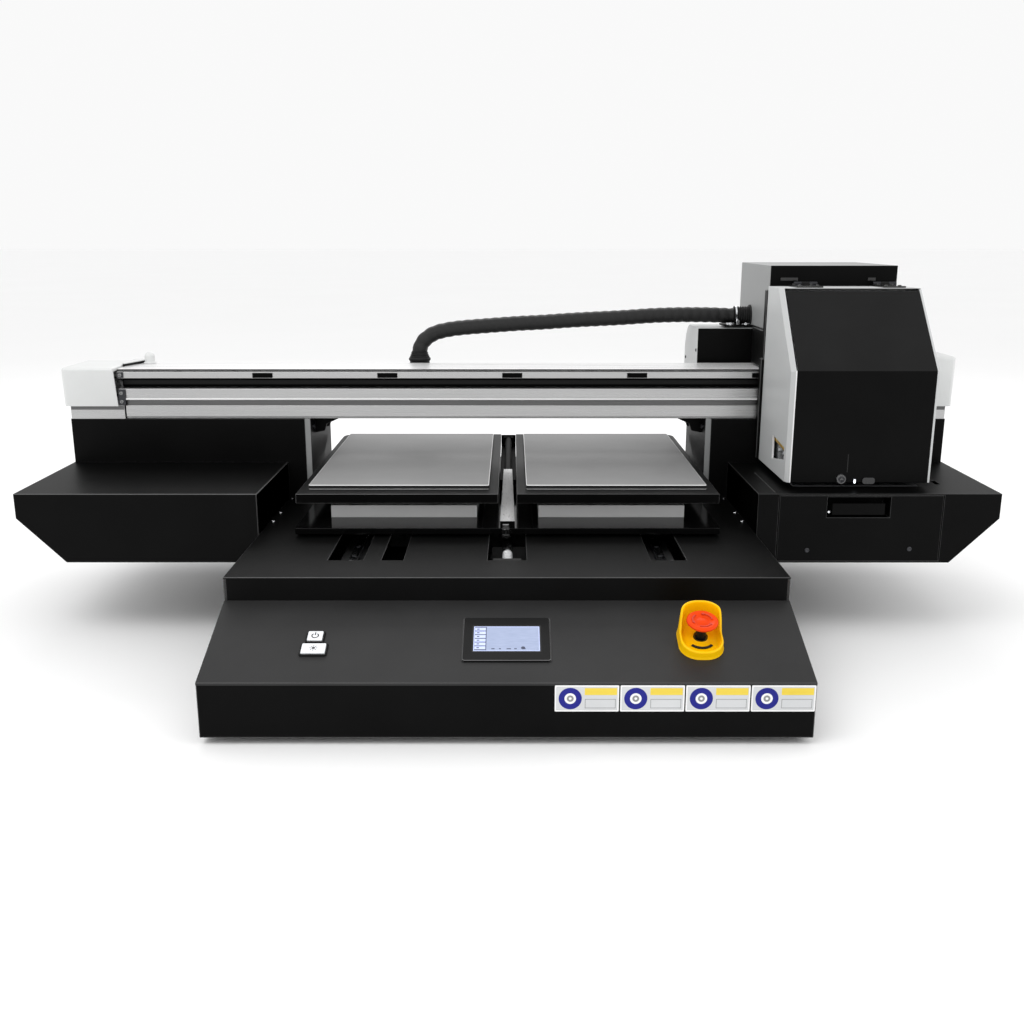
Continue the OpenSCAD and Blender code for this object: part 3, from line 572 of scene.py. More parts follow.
def beam_finish(c, n):
    """The recess is black as a painted shade, the band under the lip is dark aluminium, and the lip's front
    face is pale as a painted highlight; the rest is bare.
    """
    if n.y < -0.5 and 399.5 < c.z < 411.5 and c.y > 750:
        return 1
    if 435 < c.z < 457 and 749 < c.y < 782:
        return 2
    return 3 if n.y < -0.9 and 411.2 < c.z < 414.8 else 0


dress("beam", 0.9, mats=["aluminium", "aluminium_dim", "painted_shade_black", "beam_white"], pick=beam_finish)

# ---- hood: chamfered left front corner, a white front rim as a painted highlight, black top plates ----
HOOD_X, HOOD_Y, HOOD_KNEE, HOOD_Z = 531.0, 494.0, 503.0, 289.4
HOOD_TOP, HOOD_TOP_Y, HOOD_CHAMFER = 648.0, 628.0, 7.8
HOOD_SLOPE = (HOOD_TOP - HOOD_KNEE) / (HOOD_TOP_Y - HOOD_Y)


def hood_corner(bm):
    """Chamfers the shell's left front edges."""
    edges = []
    for e in bm.edges:
        a, b = local(e.verts[0].co), local(e.verts[1].co)
        if all(p.x < HOOD_X + 0.5 and p.z > HOOD_Z - 0.5
                and (abs(p.y - HOOD_Y) < 0.5 or abs(p.z - HOOD_KNEE - (p.y - HOOD_Y) * HOOD_SLOPE) < 2.5)
                for p in (a, b)):
            edges.append(e)
    bmesh.ops.bevel(bm, geom=edges, offset=HOOD_CHAMFER / 1000, offset_type="OFFSET", segments=1,
        affect="EDGES", clamp_overlap=True)


def hood_finish(c, n):
    """Black lugs of the hinges, a white front rim as a painted highlight, silver sides."""
    if c.z > 648.3 and c.y > 700:
        return 2
    return 1 if n.y < -0.4 and abs(n.x) < 0.3 and c.x < 543 else 0


dress("hood_shell", 0.9, mats=["silver_sheet", "white_print_and_highlight", "black_plastic"], before=hood_corner,
    pick=hood_finish)


def hood_trim():
    for i, x, w in ((1, 596.5, 53), (2, 763.5, 45)):
        leaf = Part().prism(2, 648.1, 651.4, rrect(w, 74, 3, 4, x, 687))
        for dx in (-w / 2 + 9, w / 2 - 9):
            for dy in (-24, 24):
                leaf.lathe(2, (x + dx, 687 + dy, 0),
                    [(651.4, 3.6), (652.6, 3.4), (653.2, 2.0), (652.4, 0.1)], 16)
        leaf.done(f"hinge_leaf_{i}", "black_plastic", ["black_gloss"], bevel=0.5, body="hood")
    knob = Part().lathe(1, (637, 0, 297),
        [(494, 9.5), (490.5, 9.5), (489.2, 8.4), (489.2, 6.2), (491, 5.8), (491, 3.2), (488.4, 3.0),
        (488.0, 1.4), (488.0, 0.1)], 30)
    knob.done("sensor_knob", "black_plastic", ["smoke"], body="hood")
    ring = Part().lathe(1, (637, 0, 297), [(491.2, 5.4), (489.8, 5.4), (489.8, 3.6), (491.2, 3.6)], 24,
        caps=(False, False))
    ring.done("sensor_ring", "steel_bright", ["steel_dark"], body="hood")
    lamp = Part().prism(1, 494.2, 492.2, rrect(3.6, 8, 1.6, 4, 663.6, 292.5))
    lamp.done("sensor_lamp", "button_white", ["led"], bevel=0.4, body="hood")
    lens = Part().prism(1, 494.2, 491.8, rrect(24, 13, 5, 5, 690, 293.5))
    lens.done("sensor_window", "black_plastic", ["screen_glossy"], bevel=0.6, body="hood")
    slot = Part().box(647.2, 649.0, 493.5, 494.3, 310, 345)
    slot.done("hood_slot", "black_plastic", ["rubber"], body="hood")
    ribbon = Part().prism(0, 536.5, 538, [(522, 352.5), (640, 361), (640, 351), (522, 343)])
    ribbon.done("ribbon_cable", "stop_yellow", ["ribbon_gold"], bevel=0.2, segments=1, body="carriage")
    plate = Part().prism(0, 540, 543, [(526, 342), (650, 350), (650, 316), (580, 316), (526, 326)])
    for y in (548, 584):
        plate.lathe(0, (0, y, 336), [(540, 5), (537.6, 5), (537, 4), (537, 2.2), (539, 2.0), (539, 0.1)], 20)
    plate.done("head_bracket", "tin_plate", bevel=0.4, body="carriage")


hood_trim()


# ---- ink box: black front, bellows where the hose enters, clip on its bracket ----
INK_FRONT, GLAND_X, GLAND_Y, GLAND_Z = 755.0, 541.0, 930.0, 574.0


def without_gland(bm):
    """Opens the box's side where the bellows replace the plain gland."""
    gone = []
    for f in bm.faces:
        points = [local(v.co) for v in f.verts]
        if all(p.x < GLAND_X + 0.5 and hypot(p.y - GLAND_Y, p.z - GLAND_Z) < 20.6 for p in points):
            gone.append(f)
    bmesh.ops.delete(bm, geom=gone, context="FACES")


def ink_finish(c, n):
    if (n.y < -0.9 and c.y < INK_FRONT + 0.5) or c.z < 556.2:
        return 1
    # the top and the left side take the dimmer silver: painted shade
    return 2 if (n.z > 0.9 and c.z > 686) or n.x < -0.9 else 0


dress("ink_box", 3.2, 3, mats=["silver_sheet", "black_sheet", "silver_dim"], pick=ink_finish,
    before=without_gland)


def ink_trim():
    bellows = [(505.2, 0.1), (505.2, 17.4), (505.2, 21.2), (508.4, 21.6), (510.2, 20.6)]
    x, fold = 511.0, 5.2
    for _ in range(5):
        bellows += [(x, 16.6), (x + 1.6, 16.6), (x + 2.6, 20.4), (x + 3.9, 20.6), (x + 4.9, 17.4)]
        x += fold
    bellows += [(x, 17.0), (537.5, 19), (538.2, 24), (541.2, 24.4), (541.2, 0.1)]
    Part().lathe(0, (0, GLAND_Y, GLAND_Z), bellows, 40).done("gland_bellows", "black_plastic", ["rubber"],
        smooth=40, body="carriage")
    clamp = Part().lathe(0, (0, GLAND_Y, GLAND_Z),
        [(505.8, 21.4), (505.8, 22.4), (509.2, 22.4), (509.2, 21.4)], 40, caps=(False, False))
    clamp.box(505.5, 509.5, GLAND_Y - 29, GLAND_Y - 21, GLAND_Z - 12, GLAND_Z - 5)
    clamp.lathe(1, (507.5, 0, GLAND_Z - 8.5),
        [(GLAND_Y - 29, 2.6), (GLAND_Y - 31.5, 2.6), (GLAND_Y - 32, 1.6), (GLAND_Y - 31, 1.4),
        (GLAND_Y - 31, 0.1)], 14)
    clamp.done("gland_clamp", "steel_bright", ["chrome"], body="carriage")
    clip = Part()
    for x0, x1, z0, z1 in ((484, 500, 556.2, 561), (506, 512, 556.2, 566), (518, 534, 556.2, 559.5)):
        clip.box(x0, x1, 897, 903, z0, z1)
    for x in (492, 526):
        clip.lathe(1, (x, 0, 558.2), [(897, 3.2), (894.6, 3.2), (894, 2.4), (894, 1.5), (895.4, 1.4),
            (895.4, 0.1)], 14)
    clip.done("bracket_clips", "steel_bright", ["chrome"], bevel=0.5, body="carriage")
    for i, x0, w in ((1, 562, 36), (2, 742, 16)):
        bar = Part().box(x0, x0 + w, 752.6, 755.3, 657, 664)
        bar.done(f"lid_latch_{i}", "black_plastic", ["black_gloss"], bevel=0.5, body="carriage")
    # the vent slots are thin black strips on the face: painted shade for their openings
    vents = Part()
    for x in (601, 672, 743):
        for z in (580, 588):
            vents.box(x - 8, x + 8, 1041.5, 1042.6, z, z + 2.5)
    vents.done("ink_box_vents", "black_plastic", ["rubber"], body="carriage")


ink_trim()


# ---- white caps on the beam's ends: drafted, rounded, open towards the beam and below ----
CAP_BOTTOM, CAP_FRONT, CAP_BACK, CAP_OUT, WALL = 399.0, 738.0, 886.0, 936.0, 3.0


def end_cap(side, sign, top):
    crown, turn = 8.0, 7.0

    def outline(z, shrink, wall):
        """An open C in X and Y when wall is set, otherwise the full outline, closed along the beam."""
        t = (top - z) / (top - CAP_BOTTOM)
        out, inner = CAP_OUT - 0.6 * t - shrink, 827.0 - 5.0 * t + (shrink if not wall else 0)
        front, back, r = CAP_FRONT + 1.5 * t + shrink, CAP_BACK - 1.5 * t - shrink, max(turn - shrink, 2)

        def arc(d, r_at):
            pts = []
            for cy, a0 in ((front + d + r_at, -90), (back - d - r_at, 0)):
                for k in range(7):
                    a = radians(a0 + 15 * k)
                    pts.append((out - d - r_at + r_at * cos(a), cy + r_at * sin(a)))
            return pts
        pts = [(inner, front)] + arc(0, r) + [(inner, back)]
        if wall:
            pts += [(inner, back - WALL)] + arc(WALL, max(r - WALL, 1))[::-1] + [(inner, front + WALL)]
        return [(sign * x, y) for x, y in pts]

    part = Part()
    part.loft([(z, outline(z, 0, True)) for z in (CAP_BOTTOM, top - crown)])
    layers = [(top - crown, outline(top - crown, 0, False))]
    for k in range(7):
        a = radians(15 * k)
        layers.append((top - crown + 2 + (crown - 2) * sin(a),
            outline(top, (crown - 2) * (1 - cos(a)), False)))
    part.loft(layers)
    part.done(f"end_cap_{side}_body", "white_plastic", replaces=["end_cap_" + side], smooth=40)


end_cap("left", -1, 480.0)
end_cap("right", 1, 503.0)


def beam_ends():
    strip = Part().prism(2, 481.2, 483.6, [(-828, 798), (-821, 796), (-795, 880), (-826, 882)])
    strip.done("cap_strip", "white_plastic", bevel=0.8)
    wedge = Part().prism(2, 476.3, 481.1, [(-827, 801), (-822.5, 800), (-797, 878), (-826, 878)])
    wedge.done("cap_wedge", "black_plastic")
    knob = [(476.2, 13), (478.4, 13.4), (479.6, 11.4), (480.4, 10.6), (491, 10.8)]
    knob += [(491 + 9.8 * sin(radians(a)), 0.1 + 10.7 * cos(radians(a))) for a in range(12, 91, 13)]
    Part().lathe(2, (-786, 856, 0), knob, 36).done("tension_knob_body", "white_plastic",
        replaces=["tension_knob"], smooth=40)
    for side, sign in (("left", -1), ("right", 1)):
        plate = Part().box(*sorted((sign * 807, sign * 821.5)), 743.6, 747.6, 400, 434)
        plate.box(*sorted((sign * 809, sign * 821.5)), 744.6, 747.8, 458, 470)
        plate.done(f"beam_end_{side}", "steel_bright", ["steel_dark"], bevel=0.6)
        turned(f"beam_end_bolts_{side}", "steel_bright", 1, [(sign * 814.5, 0, z) for z in (408, 426, 464)],
            [(744.4, 3.6), (741.4, 3.6), (740.6, 3.0), (740.6, 1.8), (742.6, 1.7), (742.6, 0.1)], 16,
            ["silver_dim"])
        # a dark strip under the cap's bottom edge: painted shade
        groove = Part().box(*sorted((sign * 813, sign * 925)), 747.2, 748.4, 390.5, 398.8)
        groove.done(f"block_groove_{side}", "steel_dark", ["aluminium_dim"])


beam_ends()


# ---- touch panel ----
PANEL = on_console(0, 100)


def touch_panel():
    bezel = Part(PANEL)
    inner, outer = rrect(106.6, 60.6, 1.2, 4), rrect(143, 108, 6, 4)
    lip, crown = rrect(138.6, 103.6, 4, 4), rrect(137.2, 102.2, 3.6, 4)
    edge = rrect(109.4, 63.4, 1.6, 4)
    # the crown's rounded step takes the pale anodised edge as a painted highlight, and its flat top the
    # lighter black as painted light
    bezel.loft(((0.1, outer), (0.8, outer), (0.6, lip), (2.0, lip), (2.8, crown), (2.8, edge), (2.3, inner),
        (0.2, inner)), loop=True, by_step=(0, 0, 0, 2, 1, 0, 0, 0))
    bezel.done("touchscreen_bezel", "black_plastic", ["black_gloss", "black_painted_light", "tray_edge_painted_highlight"],
        ["touchscreen"], smooth=20)
    back = Part(PANEL).prism(2, -28, -4, rrect(116, 76, 2, 3))
    back.prism(2, -4.1, 0.2, rrect(112, 72, 2, 3))
    back.done("touchscreen_case", "black_plastic", replaces=["touchscreen"], bevel=0.6)
    frame_line = Part(PANEL)
    for x0, x1, y0, y1 in ((-52.2, 52.2, 28.0, 29.2), (-52.2, 52.2, -29.2, -28.4),
            (-52.2, -51.4, -28.4, 28.0), (51.2, 52.2, -28.4, 28.0)):
        frame_line.box(x0, x1, y0, y1, 2.3, 2.5)
    frame_line.done("display_border", "screen", ["screen_edge"])
    key_pitch = 9.0
    key_places = [-25.5 + i * key_pitch for i in range(6)]
    keys = Part(PANEL)
    for y in key_places:
        keys.box(-50.6, -33.8, y, y + 6.6, 2.35, 2.5)
    keys.done("display_keys", "screen", ["screen_edge"])
    marks = Part(PANEL).box(-33.2, -32.2, -28, 28, 2.35, 2.52)
    for i in range(7):
        marks.box(-50.8, -33.2, -27.6 + i * key_pitch, -26.0 + i * key_pitch, 2.35, 2.52)
    for y in key_places:
        marks.box(-47.5, -43.5, y + 2.2, y + 4.4, 2.4, 2.56)
    for i, w in enumerate((5, 3, 7, 4, 6)):
        marks.box(-24 + i * 12, -24 + i * 12 + w, -25.6, -23.6, 2.35, 2.52)
    marks.lathe(2, (26, -22.5, 0), [(2.35, 3.4), (2.54, 3.4)], 16)
    marks.done("display_marks", "screen", ["screen_dark"])


touch_panel()


# ---- push buttons ----
def button(name, rim_no, x, u, w, l):
    """A rim on the console and the cap inside it; gives back the console's frame there."""
    at, gap = on_console(x, u), 5.8
    rim = Part(at)
    steps = ((w - 5, 0.2, 1.8), (w, 0.1, 3.4), (w, 1.8, 3.4), (w - 1.6, 3.0, 2.8), (w - 4.4, 3.0, 2.0),
        (w - 5, 2.4, 1.8))
    rim.loft([(z, rrect(size, l - w + size, r, 5)) for size, z, r in steps], loop=True)
    rim.prism(2, -20, 0.1, rrect(w - 2.4, l - 2.4, 2, 5))
    rim.done(f"button_rim_{rim_no}", "black_plastic", replaces=["button_rims"], smooth=30)
    cap = Part(at)
    cw, cl = w - gap, l - gap
    cap.loft([(-8, rrect(cw, cl, 1.8, 5)), (4.0, rrect(cw, cl, 1.8, 5)),
        (4.7, rrect(cw - 0.8, cl - 0.8, 1.6, 5)), (5.0, rrect(cw - 2.2, cl - 2.2, 1.2, 5))])
    cap.done(name + "_cap", "button_white", replaces=[name], smooth=40, body=name)
    return at


def ray(degrees, corners, cx=0.0, cy=0.0):
    """Corners given along a ray and across it, turned to the ray's angle."""
    c, s = cos(radians(degrees)), sin(radians(degrees))
    return [(cx + r * c - o * s, cy + r * s + o * c) for r, o in corners]


def arc_strip(part, cx, cy, r0, r1, a0, a1, z0, z1, steps=28):
    """Flat arc between two radii, from a0 to a1 degrees."""
    angles = [radians(a0 + (a1 - a0) * k / steps) for k in range(steps + 1)]
    rim = [(cx + r1 * cos(a), cy + r1 * sin(a)) for a in angles]
    rim += [(cx + r0 * cos(a), cy + r0 * sin(a)) for a in reversed(angles)]
    return part.prism(2, z0, z1, rim)


at = button("power_button", 1, -305, 104.5, 30, 28)
icon = arc_strip(Part(at), 0, -0.5, 4.4, 6.0, 125, 415, 4.9, 5.25)
icon.box(-0.8, 0.8, 0.8, 7.4, 4.9, 5.25)
icon.done("power_icon", "black_plastic", ["screen_glossy"], body="power_button")
at = button("light_button", 2, -303.5, 74.5, 44, 29)
icon = Part(at).lathe(2, (0, 0, 0), [(4.9, 2.6), (5.2, 2.6), (5.3, 2.0)], 20)
for degrees in range(0, 360, 45):
    icon.prism(2, 4.9, 5.2, ray(degrees, ((3.8, -0.45), (6.4, -0.45), (6.4, 0.45), (3.8, 0.45))))
icon.done("light_icon", "black_plastic", ["head_grey"], body="light_button")

# ---- emergency stop: one moulded cup with a high back, and the mushroom head on its stem ----
STOP = on_console(307, 96)


def stop_cup():
    """The cup with its high back, the sleeve and collar in it, and the head with its turn marks."""
    sides = 96
    low, high, floor_z = 17.0, 51.5, 7.0

    def ease(v):
        v = min(max(v, 0), 1)
        return v * v * (3 - 2 * v)

    def ring(w, l, r, height, lean=0.0):
        """Points at even angles round a rounded rectangle; height may depend on the angle."""
        pts = []
        hx, hy = w / 2 - r, l / 2 - r
        for k in range(sides):
            a = 2 * pi * k / sides
            c, s = cos(a), sin(a)
            t_low, t_high = 0.0, max(w, l)
            for _ in range(24):
                t = (t_low + t_high) / 2
                d = hypot(max(abs(t * c) - hx, 0), max(abs(t * s) - hy, 0))
                t_low, t_high = (t, t_high) if d < r else (t_low, t)
            z = height(a) if callable(height) else height
            k_lean = 1 - lean * z
            pts.append((t_low * c * k_lean, t_low * s * k_lean, z))
        return pts

    def rim(drop):
        """The rim's height over the angle: low in front, rising to the high back."""
        def h(a):
            up = sin(a)
            return low + (high - low) * ease((up - 0.02) / 0.62) - 3.0 * ease((-up - 0.2) / 0.8) - drop
        return h
    lean = 0.0011
    steps = [(71, 89, 31, 0.1), (71, 89, 31, 1.2), (69.5, 87.5, 30.5, 2.4),
        (69, 86.5, 30, lambda a: rim(3.0)(a) * 0.5, lean), (69, 86.5, 30, rim(3.0), lean),
        (68.2, 85.7, 29.6, rim(1.0), lean), (66, 83.5, 29, rim(0), lean), (63.5, 81, 28, rim(0), lean),
        (61.4, 78.9, 27, rim(1.0), lean), (60.6, 78, 26.6, rim(3.0), lean),
        (58, 75, 26, lambda a: floor_z + 6 + (rim(3.0)(a) - floor_z - 6) * 0.35),
        (54, 70, 25, floor_z + 2.2), (48, 64, 23, floor_z), (30, 30, 14.9, floor_z - 0.6),
        (24, 24, 11.9, floor_z + 2.0), (20, 20, 9.9, floor_z + 2.0), (17.4, 17.4, 8.6, floor_z + 1.0),
        (17.4, 17.4, 8.6, 0.1)]
    cup = Part(STOP).rings([ring(*step) for step in steps], loop=True)
    cup.done("stop_cup", "stop_yellow", replaces=["stop_shroud"], smooth=50)
    sleeve = Part(STOP).rings([ring(22, 22, 10.9, z) for z in (-30, -0.2)] + [ring(17.2, 17.2, 8.5, z)
        for z in (-0.2, -30)], loop=True)
    sleeve.done("stop_sleeve", "black_plastic", replaces=["stop_shroud"], smooth=50)
    collar = Part(STOP).rings([ring(s, s, s / 2 - 0.05, z)
        for s, z in ((23.6, floor_z + 2.2), (23.0, floor_z + 4.2), (17.6, floor_z + 4.2),
        (17.6, floor_z + 2.2))], loop=True)
    collar.done("stop_collar", "black_plastic", ["black_gloss"], smooth=40)
    # a black crescent on the cup's floor, in front of the collar: painted shade
    mark = arc_strip(Part(STOP), 0, -4, 19.0, 23.0, 222, 318, floor_z + 0.1, floor_z + 1.9)
    mark.done("stop_painted_shade", "black_plastic", ["rubber"])
    head = [(30.4, 0.1), (30.4, 8.5), (32, 11), (35, 17.5), (38.2, 23.2), (40.4, 25.0), (42.4, 24.9),
        (44.0, 23.2), (44.8, 20.6), (43.6, 17), (41.0, 12.5), (40.6, 9.5), (42.2, 7.5), (42.4, 0.1)]
    Part(STOP).lathe(2, (0, 0, 0), head, 48).done("stop_mushroom", "stop_red", replaces=["stop_head"],
        smooth=50, body="stop_head")
    arrows = Part(STOP)
    for turn in (0, 120, 240):
        arc_strip(arrows, 0, 0, 14.6, 16.4, turn + 8, turn + 78, 43.4, 44.6)
        tip = [(r * cos(radians(a)), r * sin(radians(a)))
            for r, a in ((15.5, turn + 90), (18.4, turn + 76), (12.6, turn + 76))]
        arrows.prism(2, 43.4, 44.7, tip)
    arrows.done("stop_turn_marks", "stop_red", ["stop_mark"], body="stop_head")


stop_cup()


# ---- plates on the front panel: border, field, ring and bar, without any lettering ----
def on_front(p):
    """A frame on the front panel: x across, y up, z out of it."""
    return mm((p[0], -p[2], p[1]))


def sign_plates():
    pitch, width, z0, z1 = 99.7, 97.7, 44.6, 87.3
    ring_x, bar_x = 23.5, 45.5
    for i in range(1, 5):
        x0 = -26.2 + i * pitch
        x1 = x0 + width
        cx, cz = (x0 + x1) / 2, (z0 + z1) / 2
        plate = Part().prism(1, 0, -0.8, rrect(x1 - x0, z1 - z0, 1.6, 4, cx, cz))
        plate.done(f"sign_plate_{i}", "label", ["white_print_and_highlight"], ["label_plates"])
        field = Part().prism(1, -0.7, -0.95, rrect(x1 - x0 - 4.4, z1 - z0 - 4.4, 1.2, 4, cx, cz))
        field.done(f"sign_field_{i}", "label")
        disc = Part(on_front).lathe(2, (x0 + ring_x, cz, 0), [(0.9, 8.8), (1.15, 8.8)], 28)
        disc.done(f"sign_pale_{i}", "label", ["white_print_and_highlight"])
        ring = arc_strip(Part(on_front), x0 + ring_x, cz, 8.8, 17.6, 0, 360, 0.9, 1.15, 48)
        ring.done(f"sign_ring_{i}", "label", ["label_blue"])
        hub = arc_strip(Part(on_front), x0 + ring_x, cz, 2.2, 5.2, 0, 360, 1.1, 1.3, 24)
        left, right, low, high = x0 + bar_x + 0.5, x1 - 5, z0 + 5.5, z0 + 20.5
        for x2, x3, z2, z3 in ((left, right, low, low + 0.8), (left, right, high - 0.8, high),
                (left, left + 0.8, low, high), (right - 0.8, right, low, high)):
            hub.box(x2, x3, z2, z3, 0.9, 1.1)
        hub.done(f"sign_frame_{i}", "label", ["silver_dim"])
        bar = Part(on_front).box(x0 + bar_x, x1 - 3.2, z1 - 15.5, z1 - 4.2, 0.9, 1.1)
        bar.done(f"sign_bar_{i}", "label", ["label_yellow"])


sign_plates()


# ---- drive screw: ribbed chrome collar, journals and a rolled thread ----
def drive_screw():
    axis, thread_start, thread_end = (0, 0, 178), 390.0, 1096.0
    screw = Part()
    collar = [(292, 0.1), (292, 6.2), (293, 7.0), (329, 7.0), (330, 9.2)]
    for k in range(12):
        y = 331 + k * 4.0
        collar += [(y, 9.5), (y + 2.1, 9.5), (y + 2.7, 8.2), (y + 3.4, 8.2)]
    collar += [(379.6, 9.5), (388, 9.5), (389, 9.0), (thread_start, 9.0)]
    screw.lathe(1, axis, collar, 32, 2, caps=(True, False))
    lead, starts, step, sides = 20.0, 4, 1.6, 28
    rings, y = [], thread_start
    while y <= thread_end:
        ring = []
        for k in range(sides):
            a = 2 * pi * k / sides
            phase = (y / lead * starts - k / sides * starts) % 1.0
            r = 9.0 + 0.9 * min(1.0, 3.2 * abs(phase - 0.5))
            ring.append((r * cos(a), y, axis[2] + r * sin(a)))
        rings.append(ring)
        y += step
    screw.rings(rings, caps=(False, False))
    journal = [(y - step, 9.0), (thread_end + 0.5, 7.0), (1137, 7.0), (1138, 6.2), (1138, 0.1)]
    screw.lathe(1, axis, journal, 32, 1, caps=(False, True))
    screw.done("drive_screw_body", "steel_bright", ["steel_bright", "chrome", "collar_bright"],
        ["drive_screw"], smooth=45, body="drive_screw")


drive_screw()


# ---- small fittings ----
def small_parts():
    rail_x = 283
    foot = Part().lathe(2, (-3, 427, 0), [(199.6, 0.1), (199.6, 7.8), (200.6, 8.8), (206, 8.8), (207, 8.0),
        (209, 8.0), (210, 8.8), (217, 8.8), (218.5, 7.4), (224, 7.0), (225, 6.0), (225, 0.1)], 32)
    foot.done("bar_foot", "black_plastic", ["black_gloss"], smooth=40, body="table")
    half = 17.4  # clear of the trays on both sides
    # the wall and floor fill the gap between the trays with painted shade black
    wall = Part().box(-half, half, 1102.6, 1109, 215.2, 271)
    wall.box(-half, half, 722, 1102.6, 215.2, 244)
    wall.done("bar_channel", "black_plastic", ["painted_shade_black"], bevel=0.8, body="table")
    spots = [(s * 465, y, 0) for s in (-1, 1) for y in (546, 615, 739)]
    turned("deck_screws", "steel_bright", 2, spots,
        [(197.5, 4.2), (199.4, 4.0), (200.4, 2.6), (199.6, 1.2), (199.6, 0.1)], 18, ["chrome"])
    for side, s in (("left", -1), ("right", 1)):
        stop = Part().box(s * rail_x - 12, s * rail_x + 12, 291, 303, 175.2, 188)
        stop.done("rail_stop_" + side, "steel_dark", bevel=1.2)
        bolt = Part()
        bolt.lathe(2, (s * rail_x + 7, 297, 0),
            [(187.6, 5.2), (192.6, 5.2), (193.6, 4.4), (193.6, 2.6), (190.6, 2.5), (190.6, 0.1)], 18)
        bolt.lathe(2, (s * rail_x - 6, 297, 0), [(187.6, 3.6), (191.0, 3.6), (191.6, 2.8), (191.6, 0.1)], 6)
        bolt.done("rail_stop_bolts_" + side, "steel_bright", ["collar_bright"])
        spots = [(s * rail_x, y, 0) for y in range(330, 1180, 60)]
        turned("rail_bolts_" + side, "steel_dark", 2, spots,
            [(175.1, 4.6), (175.45, 4.4), (175.2, 3.4), (175.2, 0.1)], 14)
        spots = [(0, y, z) for y, z in ((775, 225), (775, 350), (838, 225), (838, 350), (905, 350))]
        head = [(419.9, 5.4), (416.4, 5.4), (415.6, 4.6), (415.6, 2.8), (418.4, 2.7), (418.4, 0.1)]
        turned("plate_bolts_" + side, "steel_bright", 0, spots, [(s * x, r) for x, r in head], 18,
            ["steel_dark"])
    flap = Part().box(614.4, 714.4, 458.5, 461, 234.8, 257.4)
    flap.done("handle_flap", "black_sheet", bevel=1.0, body="drawer")
    turned("drawer_screws", "steel_dark", 1, [(570.4, 0, 166.8), (765.2, 0, 169.4)],
        [(454.2, 4.6), (453.0, 4.4), (452.4, 3.0), (453.2, 1.8), (453.2, 0.1)], 20, body="drawer")
    turned("flap_screw", "steel_bright", 1, [(609.4, 0, 240)],
        [(470, 2.8), (463, 2.8), (462.2, 2.2), (462.2, 0.1)], 14, ["chrome"], body="drawer")
    lips = Part()
    for cx in (611, 673, 735):
        sizes = ((40, 98, 283.8), (38.6, 96.6, 285.6), (35.6, 93.6, 285.6), (34, 92, 284.1))
        lips.loft([(z, rrect(w, l, 4, 4, cx, 610)) for w, l, z in sizes], loop=True)
    lips.done("cap_lips", "rubber")
    boot = [(476, 22.2), (479, 24.4), (482, 24.4), (484.6, 21.6), (487, 21.9), (488.2, 19.6), (490.6, 20.4),
        (491.8, 18.4), (495, 19.0), (496, 17.0), (498, 17.6), (498.4, 14.5)]
    Part().lathe(2, (-198, 905, 0), boot, 36, caps=(False, False)).done("hose_boot", "black_plastic",
        ["rubber"], smooth=40)
    turned("stand_bolts", "steel_bright", 2, [(-214, 886, 0), (-182, 886, 0)],
        [(379, 5), (383, 5), (384, 4.2), (384, 2.6), (382, 2.5), (382, 0.1)], 16)


small_parts()


# ---- back of the machine ----
FAN_X, FAN_Z, BACK = 190.0, 90.0, 1200.0


def rear_fan():
    case = Part()
    outer, hole = rrect(80, 80, 6, 6, FAN_X, FAN_Z), 37.0
    ring = []
    for x, z in outer:
        d = hypot(x - FAN_X, z - FAN_Z)
        ring.append((FAN_X + (x - FAN_X) * hole / d, FAN_Z + (z - FAN_Z) * hole / d))
    case.rings([[(x, y, z) for x, z in o]
        for o, y in ((outer, 1169), (outer, 1195), (ring, 1195), (ring, 1169))], loop=True)
    for degrees in (0, 90, 180, 270):
        corners = ((13, -2), (37.5, -2), (37.5, 2), (13, 2))
        case.prism(1, 1169.5, 1172.5, ray(degrees, corners, FAN_X, FAN_Z))
    case.lathe(1, (FAN_X, 0, FAN_Z), [(1169.2, 14), (1174, 14)], 28)
    case.done("fan_case", "black_plastic", replaces=["rear_fan"], smooth=35)
    rotor = Part().lathe(1, (FAN_X, 0, FAN_Z), [(1174.5, 15), (1191, 15), (1192.6, 13.6), (1192.8, 0.1)], 32)
    blades = 7
    for k in range(blades):
        base = 2 * pi * k / blades
        rows = []
        for j in range(7):
            r = 14.6 + (35.6 - 14.6) * j / 6
            twist, sweep = 8.5 - 3.2 * j / 6, base + 0.10 * j
            row = []
            for d, y in ((-twist, 1177), (0, 1183.5), (twist, 1190), (twist, 1191.2), (0, 1184.7),
                    (-twist, 1178.2)):
                a = sweep + d / r
                row.append((FAN_X + r * cos(a), y, FAN_Z + r * sin(a)))
            rows.append(row)
        rotor.rings(rows)
    rotor.done("fan_rotor", "black_plastic", ["head_grey"], ["rear_fan"], smooth=35)


rear_fan()


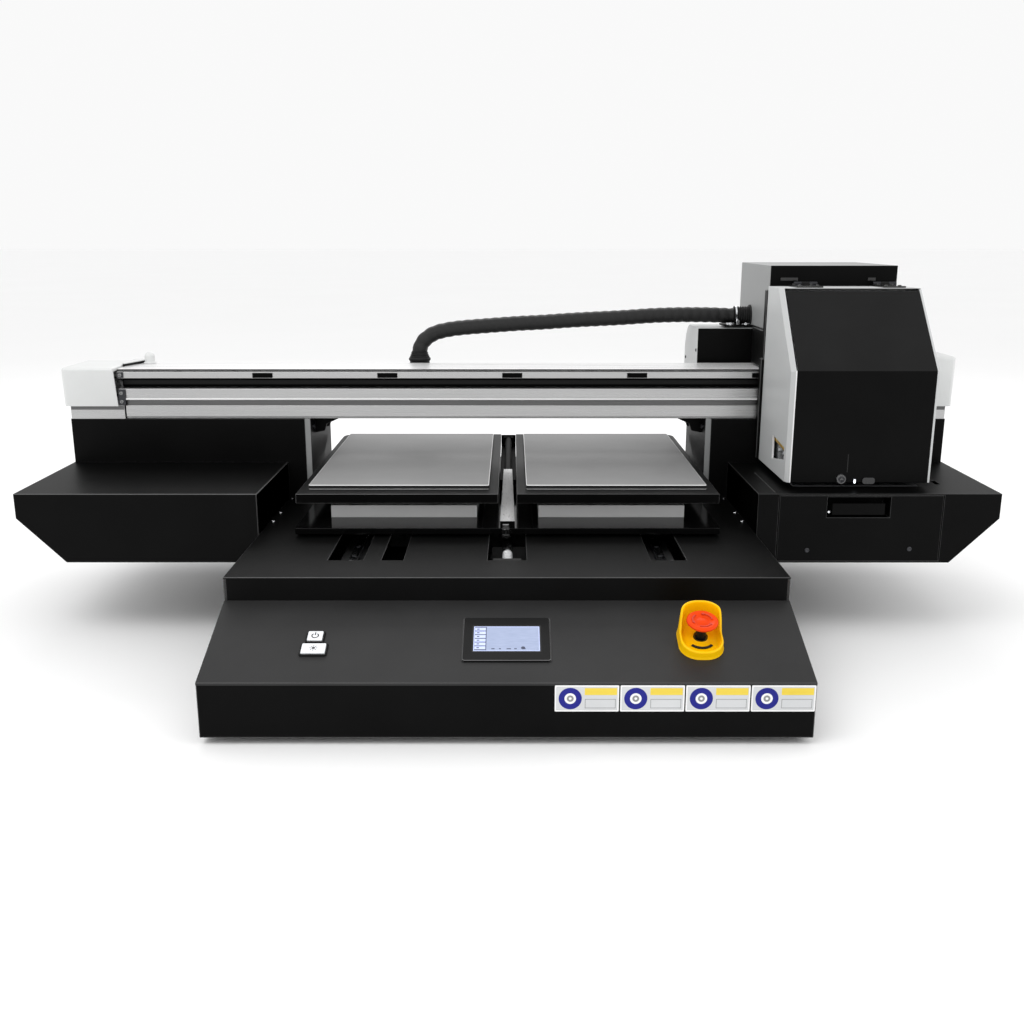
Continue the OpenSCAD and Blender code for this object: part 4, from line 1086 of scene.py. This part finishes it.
def rear_trim():
    spots = [(x, 0, z) for x in (-458, -300, -120, 120, 300, 458) for z in (16, 182)]
    spots += [(FAN_X + dx, 0, FAN_Z + dz) for dx in (-36, 36) for dz in (-36, 36)]
    spots += [(-200 + dx, 0, 80) for dx in (-33, 33)]
    head = [(-0.2, 4.4), (1.0, 4.2), (2.0, 2.8), (1.2, 1.6), (1.2, 0.1)]
    turned("rear_screws", "steel_dark", 1, spots, [(BACK + h, r) for h, r in head], 18)
    pins = Part()
    for x, z in ((-206, 68), (-194, 68), (-200, 62)):
        pins.box(x - 1.6, x + 1.6, 1182, 1194, z - 1, z + 1)
    pins.done("inlet_pins", "steel_bright", ["foil"])
    rocker = Part().prism(0, -209.4, -190.6,
        [(1194, 86.4), (1200.6, 86.4), (1198.4, 93), (1202.4, 99.6), (1194, 99.6)])
    rocker.done("inlet_switch", "stop_red", bevel=0.6)
    cover = Part()
    for y, z in ((905, 420), (1045, 420), (905, 500), (1045, 470)):
        for x, out in ((420, -1), (900, 1)):
            head = [(x + out * h, r) for h, r in ((-0.2, 3.8), (1.2, 3.6), (2.0, 2.2), (1.4, 0.1))]
            cover.lathe(0, (0, y, z), head, 16)
    cover.done("cover_screws", "steel_dark")
    # the vent slots are thin black strips on the face: painted shade for their openings
    vents = Part()
    for x0 in (500, 690):
        for k in range(7):
            vents.prism(1, 1065.4, 1066.5, rrect(110, 4, 1.9, 3, x0 + 60, 400 + 9 * k))
    vents.done("cover_vents", "black_plastic", ["rubber"])
    places = ((500, 160), (500, 262), (690, 160), (690, 262), (830, 262))
    spots = [(s * x, 0, z) for s in (-1, 1) for x, z in places]
    turned("shelf_screws", "steel_dark", 1, spots,
        [(1069.8, 4.2), (1071, 4.0), (1072, 2.6), (1071.2, 0.1)], 16)


rear_trim()


# ---- floor and light ----
FLOOR = 60.0  # half the floor's width, in metres


def make_floor():
    part = Part(at=Vector).rings([[(x, -FLOOR, 0), (x, FLOOR, 0), (x, FLOOR, -0.02), (x, -FLOOR, -0.02)]
        for x in (-FLOOR, FLOOR)])
    bmesh.ops.recalc_face_normals(part.bm, faces=part.bm.faces[:])
    mesh_object(part.bm, "floor", ["floor"])


make_floor()
world = bpy.data.worlds.new("studio")
scene.world = world
world.use_nodes = True
sky = next(n for n in world.node_tree.nodes if n.type == "BACKGROUND")
put(sky, {"Color": (1, 1, 1, 1), "Strength": 0.95})


def softbox(name, place, aim, size, power):
    light = bpy.data.lights.new(name, "AREA")
    light.shape, light.size, light.size_y, light.energy = "RECTANGLE", size[0], size[1], power
    obj = linked(name, light)
    obj.location = place
    obj.rotation_euler = (Vector(aim) - Vector(place)).to_track_quat("-Z", "Y").to_euler()


softbox("key", (-1.4, -2.0, 3.2), (0, 0, 0.3), (2.4, 1.6), 40)
softbox("fill", (2.6, -1.6, 1.8), (0, 0, 0.3), (1.6, 1.6), 12)
softbox("back", (0.0, 2.8, 2.6), (0, 0, 0.3), (3.0, 1.2), 30)
scene.view_settings.view_transform = "Standard"
